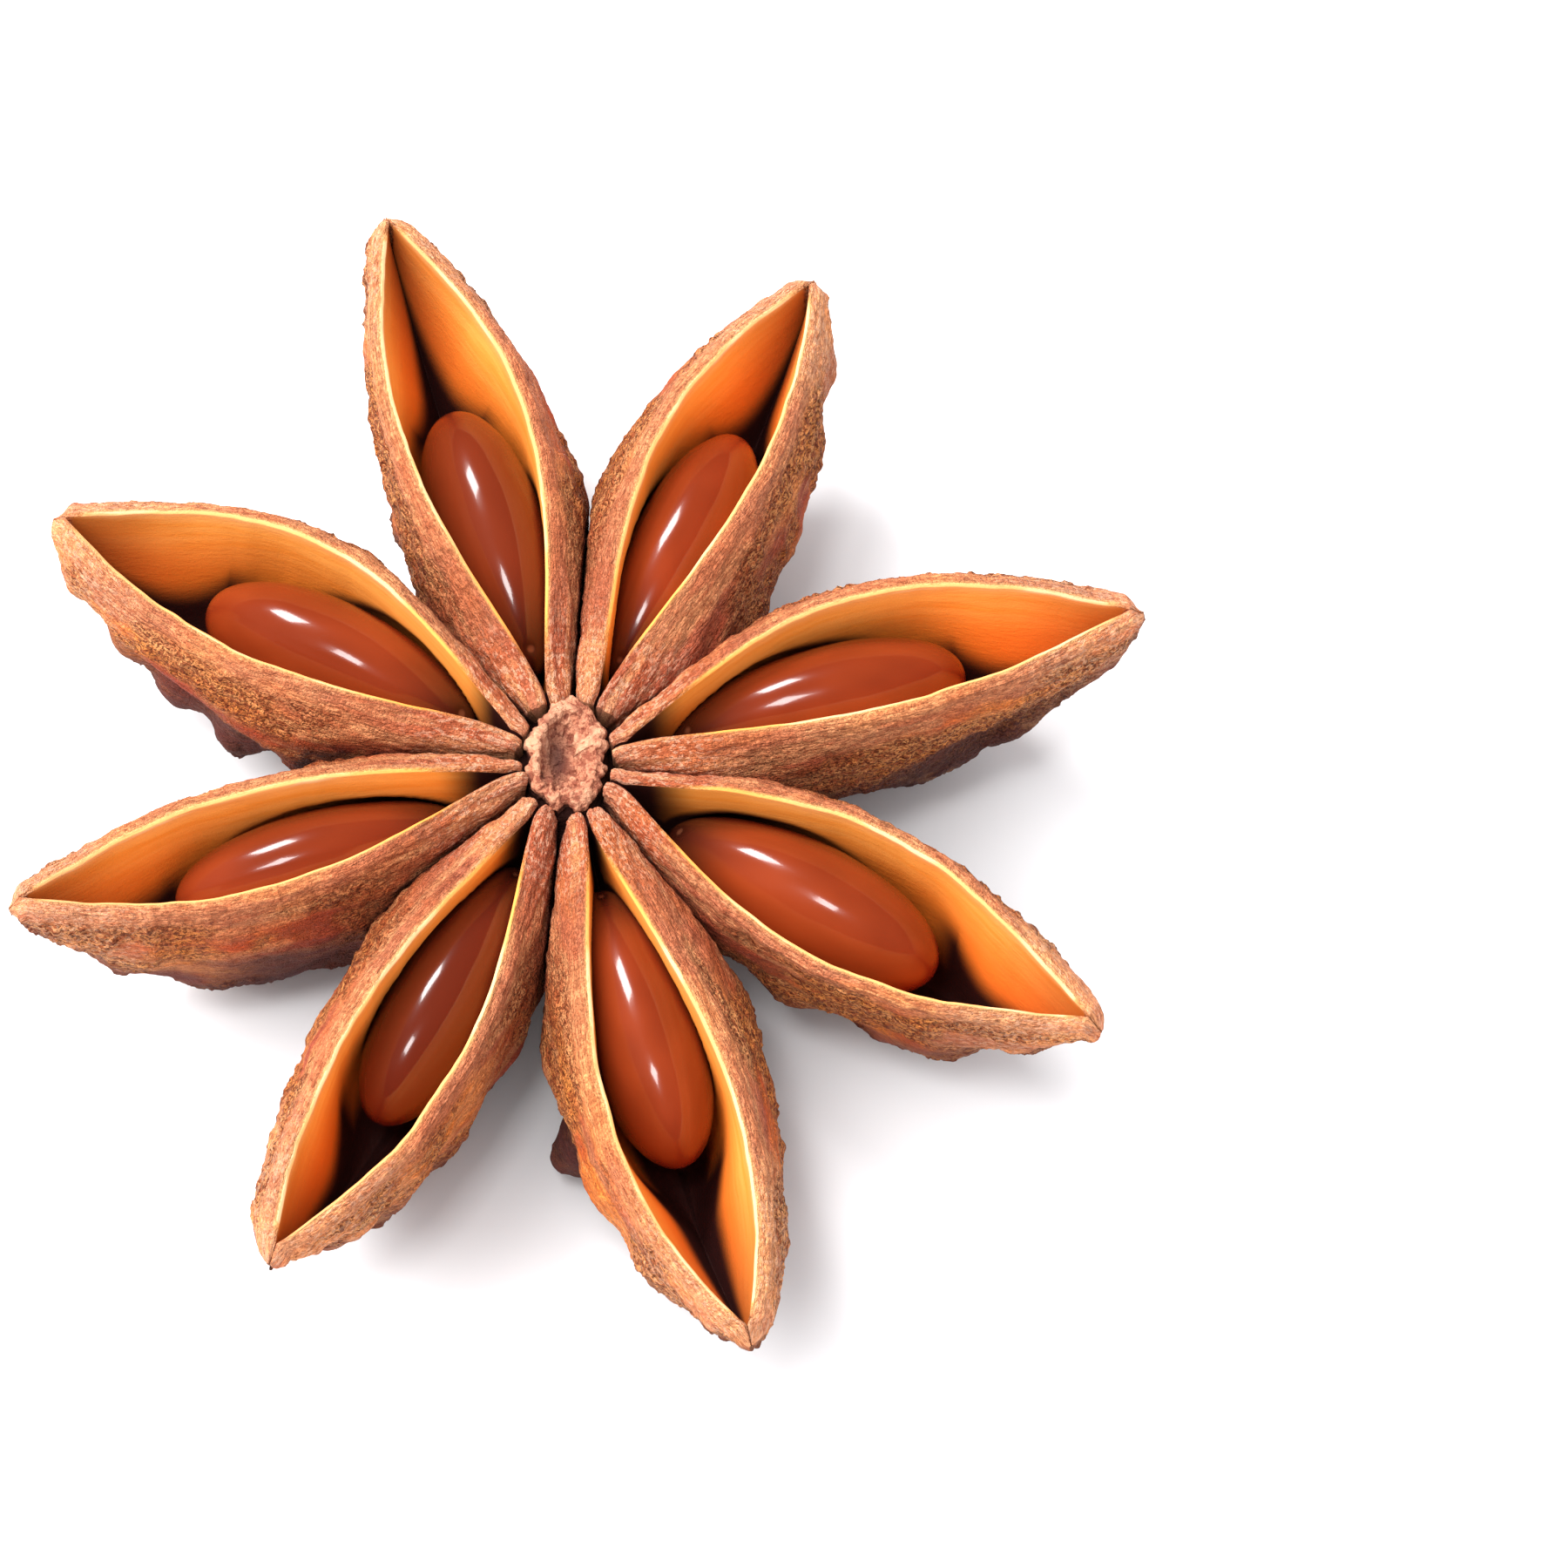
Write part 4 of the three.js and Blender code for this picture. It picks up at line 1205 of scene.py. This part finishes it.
def paint(red, green, blue):
    """A colour given as on a screen, made linear: each share to the power 2.4 once shifted, and
    divided by a constant where it is nearly black."""
    shares = [value / 255 for value in (red, green, blue)]
    linear = [s / 12.92 if s <= 0.04045 else ((s + 0.055) / 1.055) ** 2.4 for s in shares]
    return (*linear, 1.0)


def fill(tree, node, inputs):
    """Fills a node's sockets, by name or number, with values or links."""
    for socket, value in inputs.items():
        if isinstance(value, bpy.types.NodeSocket):
            tree.links.new(value, node.inputs[socket])
        else:
            node.inputs[socket].default_value = value


def place_node(tree, kind, inputs, **settings):
    """Adds a node with its settings and fills its sockets."""
    node = tree.nodes.new(kind)
    for name, value in settings.items():
        setattr(node, name, value)
    fill(tree, node, inputs)
    return node


def maths(tree, operation, *values):
    """A Math node's result."""
    node = place_node(tree, "ShaderNodeMath", dict(enumerate(values)), operation=operation)
    return node.outputs[0]


def times(tree, first, *others):
    """The product of masks."""
    for other in others:
        first = maths(tree, "MULTIPLY", first, other)
    return first


def mixed(tree, mask, first, second):
    """The first colour where the mask is 0, the second where it is 1."""
    inputs = {MIX_FACTOR: mask, MIX_FIRST: first, MIX_SECOND: second}
    return place_node(tree, "ShaderNodeMix", inputs, data_type="RGBA").outputs[MIX_RESULT]


def coats(tree, base, layers):
    """Lays coats over a base, in order. Each has a mask, how much of it shows where the mask is 1,
    and its colour as on a screen."""
    for mask, strength, colour in layers:
        mask = mask if strength == 1 else times(tree, mask, strength)
        base = mixed(tree, mask, base, paint(*colour))
    return base


def ranged(tree, value, start, end, low=0.0, high=1.0):
    """The value's run from start to end, drawn out smoothly from low to high."""
    inputs = {"Value": value, "From Min": start, "From Max": end, "To Min": low, "To Max": high}
    node = place_node(tree, "ShaderNodeMapRange", inputs, interpolation_type="SMOOTHSTEP")
    return node.outputs[0]


def read(tree, name):
    """The outputs of a node that reads what the mesh stores under this name."""
    return place_node(tree, "ShaderNodeAttribute", {}, attribute_name=name).outputs


def stored(tree, *names):
    """The numbers that the mesh stores under these names."""
    return {name: read(tree, name)["Fac"] for name in names}


def stored_place(tree):
    """The coordinates that the mesh stores for patterns."""
    return read(tree, "place")["Vector"]


def runs(tree, known, table):
    """A mask for each row of a table: the stored value it follows, where on it the run starts and
    ends, and how strong the mask is at the start and at the end."""
    return {name: ranged(tree, known[source], *limits) for name, (source, *limits) in table.items()}


print("mid grey as a linear colour:", [round(value, 3) for value in paint(128, 128, 128)])

# %% [markdown]
# A node group is a small tree that several materials can use, each with its own values. It is made
# with named sockets. A material starts with the shader that Blender gives it.

# %% Groups and materials
def new_group(name, inputs, output):
    """An empty shader node group: its tree, its inputs and its output node. An input without a
    default is a vector, all others and the output are numbers."""
    tree = bpy.data.node_groups.new(name, "ShaderNodeTree")
    for socket, value in inputs.items():
        kind = "NodeSocketVector" if value is None else "NodeSocketFloat"
        made = tree.interface.new_socket(socket, in_out="INPUT", socket_type=kind)
        if value is not None:
            made.default_value = value
    tree.interface.new_socket(output, in_out="OUTPUT", socket_type="NodeSocketFloat")
    inside = tree.nodes.new("NodeGroupInput")
    outside = tree.nodes.new("NodeGroupOutput")
    return tree, inside.outputs, outside


def use_group(tree, group, **inputs):
    """Places a node group in a tree, fills its sockets and gives its output. Names use _ for a
    space."""
    named = {name.replace("_", " "): value for name, value in inputs.items()}
    return place_node(tree, "ShaderNodeGroup", named, node_tree=group).outputs[0]


def new_material(name):
    """A material, its tree and its Principled BSDF, which is linked to the output already."""
    material = bpy.data.materials.new(name)
    material.use_nodes = True
    return material, material.node_tree, material.node_tree.nodes["Principled BSDF"]


print("materials so far:", len(bpy.data.materials))

# %% [markdown]
# ## Shared effects
# `patches` makes soft-edged blotches or streaks of any size. The place is divided by the size of a
# patch, and by a further stretch along the piece, so that one group gives round grains as well as
# long fibres. `cracks` draws thin lines where such a noise passes through its middle value.
# `grain height` adds a coarse and a fine noise for a bump. Husk, column and seeds use them with
# their own values, so that the whole fruit has one kind of grain.

# %% Shared node groups
NOISE_DETAIL = 2.0
NOISE_MIDDLE = 0.5
PATCH_ROUGHNESS = 0.6
GRAIN_SOFTNESS = 0.25
FINE_SHARE = 0.5


def stretched_noise(tree, given, **settings):
    """Noise at the place divided by the size, and along the piece by the stretch as well."""
    along = maths(tree, "DIVIDE", 1.0, times(tree, given["Size"], given["Stretch"]))
    across = maths(tree, "DIVIDE", 1.0, given["Size"])
    scales = place_node(tree, "ShaderNodeCombineXYZ", {"X": along, "Y": across, "Z": across})
    inputs = {0: given["Place"], 1: scales.outputs[0]}
    scaled = place_node(tree, "ShaderNodeVectorMath", inputs, operation="MULTIPLY").outputs[0]
    inputs = {"Vector": scaled, "Scale": 1.0, "Detail": NOISE_DETAIL, **settings}
    return place_node(tree, "ShaderNodeTexNoise", inputs).outputs[0]


patches, given, result = new_group(
    "patches", {"Place": None, "Size": 1.0, "Stretch": 1.0, "Level": 0.5, "Softness": 0.1}, "Mask"
)
noise = stretched_noise(patches, given, Roughness=PATCH_ROUGHNESS)
lowest = maths(patches, "SUBTRACT", given["Level"], given["Softness"])
highest = maths(patches, "ADD", given["Level"], given["Softness"])
fill(patches, result, {"Mask": ranged(patches, noise, lowest, highest)})

cracks, given, result = new_group(
    "cracks", {"Place": None, "Size": 0.3, "Stretch": 1.0, "Width": 0.03}, "Mask"
)
noise = stretched_noise(cracks, given)
off_level = maths(cracks, "ABSOLUTE", maths(cracks, "SUBTRACT", noise, NOISE_MIDDLE))
fill(cracks, result, {"Mask": ranged(cracks, off_level, 0.0, given["Width"], 1.0, 0.0)})

grain_height, given, result = new_group(
    "grain height", {"Place": None, "Coarse Size": 0.2, "Fine Size": 0.06, "Stretch": 1.0}, "Height"
)
shared = {"Place": given["Place"], "Softness": GRAIN_SOFTNESS}
coarse = use_group(
    grain_height, patches, Size=given["Coarse Size"], Stretch=given["Stretch"], **shared
)
fine = use_group(grain_height, patches, Size=given["Fine Size"], **shared)
both = maths(grain_height, "ADD", coarse, times(grain_height, fine, FINE_SHARE))
fill(grain_height, result, {"Height": both})
print("groups:", [group.name for group in bpy.data.node_groups])

# %% [markdown]
# ## Husk: where things are
# The husk has bark outside and smooth wood inside. Its material starts from what the mesh knows
# about each point, and draws this out into masks, such as how near the column or how far under the
# fruit a point is. A table keeps the many limits in one place. Small patches and thin cracks add
# the strokes, grains, specks and flakes of dry bark.

# %% Husk masks
HUSK_RUNS = {  # the value it follows, where on it the run starts and ends, strength at each
    "beside lip": ("share", 0.02, 0.16, 1.0, 0.0),
    "lip line outwards": ("along", 3.0, 9.0, 0.15, 0.5),
    "below lip": ("depth", 0.25, 1.5, 0.0, 1.0),
    "inner half": ("along", 11.5, 7.0, 0.0, 1.0),
    "near column": ("along", 5.5, 2.8, 0.0, 1.0),
    "strokes outwards": ("along", 2.4, 6.0, 0.2, 1.0),
    "strokes to beak": ("beyond", 0.7, 0.95, 1.0, 0.3),
    "dusty": ("beyond", 0.0, 0.7, 0.0, 0.32),
    "darker inwards": ("along", 10.5, 4.5, 0.0, 0.72),
    "finger tips": ("along", 2.6, 1.3, 0.0, 0.4),
    "grains on cork": ("corky", 0.0, 1.0, 0.35, 0.75),
    "specks on cork": ("corky", 0.0, 1.0, 0.22, 0.8),
    "underneath": ("share", 0.4, 0.62, 0.0, 1.0),
    "blotched underneath": ("blotch", 0.0, 1.0, 0.45, 0.75),
    # relief runs for painted shade in the pits and a painted highlight on the ridges
    "pits": ("relief", -0.3, -1.1, 0.0, 1.0),
    "ridges": ("relief", 0.4, 1.4, 0.0, 1.0),
    "down the hollow": ("depth", 0.4, 3.2, 0.0, 1.0),
    "wall beyond seed": ("beyond", 0.05, 0.9, 0.0, 0.75),
    "cream outwards": ("along", 3.5, 7.0, 0.0, 1.0),
    "pale on edge": ("pale", 0.0, 1.0, 0.1, 0.5),
    "bump on cork": ("corky", 0.0, 1.0, 0.6, 1.4),
    "bump on bark": ("inside", 0.0, 1.0, 1.0, 0.04),
    "roughness": ("inside", 0.0, 1.0, 0.78, 0.5),
}
HUSK_PATCHES = {
    "strokes": {"Size": 0.06, "Stretch": 8.0, "Level": 0.53, "Softness": 0.08},
    "grains": {"Size": 0.14, "Stretch": 1.6, "Level": 0.52, "Softness": 0.05},
    "specks": {"Size": 0.07, "Stretch": 1.4, "Level": 0.55, "Softness": 0.04},
    "flakes": {"Size": 0.11, "Stretch": 1.8, "Level": 0.56, "Softness": 0.05},
    "wall": {"Size": 0.35, "Stretch": 12.0, "Level": 0.5, "Softness": 0.2},
}
CREASES = {"Size": 0.4, "Stretch": 9.0, "Width": 0.012}
GRAINS_BY_COLUMN = 0.5
FLAKES_BY_COLUMN = 0.45
FLAKES_IN_DUST = 1.2

husk_material, tree, surface = new_material("dry husk")
place = stored_place(tree)
known = stored(tree, "inside", "crest", "depth", "share", "relief", "along", "hollow_shade", "crack_and_end_shade")
known.update(stored(tree, "underside_shade", "beyond", *MARKS))
run = runs(tree, known, HUSK_RUNS)
patch = {name: use_group(tree, patches, Place=place, **it) for name, it in HUSK_PATCHES.items()}
creases = times(tree, use_group(tree, cracks, Place=place, **CREASES), known["rose"])
strokes = times(tree, patch["strokes"], run["strokes outwards"], run["strokes to beak"])
by_column = times(tree, run["near column"], GRAINS_BY_COLUMN)
grains = times(tree, patch["grains"], maths(tree, "MAXIMUM", run["grains on cork"], by_column))
by_column = times(tree, run["near column"], FLAKES_BY_COLUMN)
in_dust = times(tree, run["dusty"], FLAKES_IN_DUST)
flakes = times(tree, patch["flakes"], maths(tree, "MAXIMUM", by_column, in_dust))
print("masks of the husk:", len(run) + len(patch))

# %% [markdown]
# ## Husk: bark
# The bark is tan to rose brown. Its coats go on from broad to fine: blotches and zones first, then
# the paler beak, the browner skin near the column, strokes, grains, specks and flakes. Painted shade
# on the undersides and in the pits, painted highlights on the ridges and the black painted shade of
# the cracks come last, so that nothing covers them.

# %% Husk bark
bark = mixed(tree, known["blotch"], paint(248, 136, 54), paint(212, 88, 40))
bark = coats(tree, bark, [
    (known["rose"], 0.7, (164, 74, 62)),
    (times(tree, run["below lip"], run["inner half"]), 0.85, (146, 58, 38)),
    (known["corky"], 0.6, (246, 162, 82)),
    (run["dusty"], 1, (246, 188, 144)),
    (run["darker inwards"], 1, (152, 66, 46)),
    (run["finger tips"], 1, (232, 170, 140)),
    (times(tree, run["beside lip"], run["lip line outwards"]), 1, (244, 168, 118)),
    (known["pale"], 0.35, (246, 180, 122)),
    (strokes, 0.4, (162, 76, 46)),
    (grains, 1, (158, 70, 36)),
    (times(tree, patch["specks"], run["specks on cork"]), 1, (92, 38, 18)),
    (flakes, 1, (240, 190, 158)),
    (creases, 0.5, (106, 44, 34)),
    # purple-grey mottling low on the walls: partly the skin's own colour, partly painted shade
    (times(tree, run["underneath"], run["blotched underneath"]), 1, (112, 60, 50)),
    # painted shade under a few carpels and on the torn flap
    (known["underside_shade"], 0.8, (72, 38, 40)),
    # painted shade in the pits and painted highlight on the ridges of the relief
    (run["pits"], 0.65, (104, 46, 30)),
    (run["ridges"], 0.28, (242, 172, 118)),
    # painted shade in the cracks between carpels and down the finger ends
    (known["crack_and_end_shade"], 0.85, (58, 28, 26)),
])
print("nodes so far:", len(tree.nodes))

# %% [markdown]
# ## Husk: hollows and lips
# The hollow is smooth and orange, deeper in colour further down and browner towards the beak, with
# painted shade on it. A cream band runs along the cut edge of each lip, and on it a broken pale line;
# both are partly the pale cut edge and partly a painted highlight. The mask `inside` picks bark or
# hollow.

# %% Husk hollows and lips
PALE_LINE = (0.8, 1.0)  # where on the cream band the pale line starts and is full

wall = mixed(tree, patch["wall"], paint(255, 176, 84), paint(248, 158, 62))
wall = coats(tree, wall, [
    (run["down the hollow"], 1, (240, 132, 46)),
    (run["wall beyond seed"], 1, (176, 96, 44)),
    # painted shade round the seed, under it, on to the beak and in the seam
    (known["hollow_shade"], 1, (52, 24, 22)),
])
# cream band and pale line on the lip's cut edge: partly its pale colour, partly a painted highlight
cream = times(tree, known["crest"], run["cream outwards"])
pale_line = times(tree, ranged(tree, cream, *PALE_LINE), run["pale on edge"])
colour = coats(tree, mixed(tree, known["inside"], bark, wall), [
    (cream, 0.5, (248, 184, 118)),
    (pale_line, 1, (252, 220, 176)),
])
print("nodes so far:", len(tree.nodes))

# %% [markdown]
# ## Husk: surface
# Bark is rough, and the bump in its shader adds grain that is too fine for the mesh. Strokes and
# specks are pressed in, so they catch a shadow. The hollow is nearly free of bump and smoother.

# %% Husk surface
STROKE_GROOVE = 0.35
SPECK_GROOVE = 0.3
HUSK_GRAIN = {"Coarse_Size": 0.16, "Fine_Size": 0.07, "Stretch": 2.5}
HUSK_BUMP = {"Strength": 1.0, "Distance": 0.12 * MM}

grain = times(tree, use_group(tree, grain_height, Place=place, **HUSK_GRAIN), run["bump on cork"])
grain = maths(tree, "SUBTRACT", grain, times(tree, strokes, STROKE_GROOVE))
grain = maths(tree, "SUBTRACT", grain, times(tree, patch["specks"], SPECK_GROOVE))
height = times(tree, grain, run["bump on bark"])
bump = place_node(tree, "ShaderNodeBump", {"Height": height, **HUSK_BUMP})
fill(tree, surface, {
    "Normal": bump.outputs["Normal"],
    "Base Color": colour,
    "Roughness": run["roughness"],
    "Specular IOR Level": 0.2,
})
print("nodes of the husk:", len(tree.nodes))

# %% [markdown]
# ## Column
# The column's top is the same dry wood, broken. Its crests get a painted highlight, its dents painted
# shade, the sunken crater a painted shadow, and its flank, down in the ring of fingers, painted
# shade.
# Its speckle is coarser than the bark's.

# %% Column material
COLUMN_RUNS = {  # as for the husk
    "crests": ("relief", 0.2, 1.5, 0.0, 1.0),
    "dents": ("relief", -0.1, -1.0, 0.0, 1.0),
}
SPECKLE = {"Size": 0.2, "Stretch": 1.0, "Level": 0.5, "Softness": 0.07}
COLUMN_GRAIN = {"Coarse_Size": 0.15, "Fine_Size": 0.06}
COLUMN_BUMP = {"Strength": 0.9, "Distance": 0.05 * MM}

column_material, tree, surface = new_material("broken column")
place = stored_place(tree)
known = stored(tree, "relief", "crater_shadow", "flank_shade")
run = runs(tree, known, COLUMN_RUNS)
speckle = use_group(tree, patches, Place=place, **SPECKLE)
# painted highlight on crests, painted shade in dents and on the flank, painted shadow in the crater
wood = coats(tree, mixed(tree, speckle, paint(196, 128, 98), paint(146, 82, 62)), [
    (run["crests"], 1, (222, 162, 128)),
    (run["dents"], 1, (84, 42, 32)),
    (known["crater_shadow"], 0.9, (74, 44, 40)),
    (known["flank_shade"], 1, (52, 26, 22)),
])
height = use_group(tree, grain_height, Place=place, **COLUMN_GRAIN)
bump = place_node(tree, "ShaderNodeBump", {"Height": height, **COLUMN_BUMP})
fill(tree, surface, {
    "Normal": bump.outputs["Normal"],
    "Base Color": wood,
    "Roughness": 0.8,
    "Specular IOR Level": 0.2,
})
print("nodes of the column:", len(tree.nodes))

# %% [markdown]
# ## Seeds
# A seed is chestnut brown under a hard natural gloss. A clear coat over a brown base gives that
# look: the coat makes the sharp highlights, the base keeps its colour. Slow clouds of a darker
# brown keep it from looking like plastic. Painted shade darkens it towards its inner end, and its
# knob is pale.

# %% Seed material
SEED_RUNS = {  # as for the husk
    "inner end": ("along", 0.35, 0.02, 0.0, 1.0),
    "pale knob": ("knob", 0.5, 0.95, 0.0, 0.5),
}
CLOUDS = {"Size": 2.5, "Stretch": 2.0, "Level": 0.5, "Softness": 0.2}

seed_material, tree, surface = new_material("polished seed")
known = stored(tree, "darker", "along", "knob")
run = runs(tree, known, SEED_RUNS)
clouds = use_group(tree, patches, Place=stored_place(tree), **CLOUDS)
shell = coats(tree, mixed(tree, clouds, paint(136, 52, 22), paint(114, 40, 16)), [
    (known["darker"], 1, (92, 32, 16)),
    # painted shade towards the seed's inner end
    (run["inner end"], 1, (62, 24, 14)),
    (run["pale knob"], 1, (150, 90, 62)),
])
fill(tree, surface, {
    "Base Color": shell,
    "Roughness": 0.2,
    "Specular IOR Level": 0.25,
    "Coat Weight": 0.65,
    "Coat Roughness": 0.08,
})
print("nodes of a seed:", len(tree.nodes))

# %% [markdown]
# ## Floor finish
# Matt white paper, hardly shiny. It is bright enough to wash out except where the fruit shades it.

# %% Floor material
floor_material, tree, surface = new_material("white floor")
fill(tree, surface, {
    "Base Color": (0.88, 0.88, 0.89, 1),
    "Roughness": 0.7,
    "Specular IOR Level": 0.2,
})
floor.data.materials.append(floor_material)
print("materials:", [material.name for material in bpy.data.materials])

# %% [markdown]
# ## Handing the pieces over
# Each piece gets its material and rides on the body it is attached to, and the imported solid it
# stands for is hidden.

# %% Hand over
for piece in carpels:
    piece.data.materials.append(husk_material)
    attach(piece, "root")
    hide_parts("husk")

column.data.materials.append(column_material)
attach(column, "root")
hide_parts("husk")

for index, piece in enumerate(seeds):
    piece.data.materials.append(seed_material)
    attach(piece, "root")
    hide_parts(f"seed_{index + 1}")
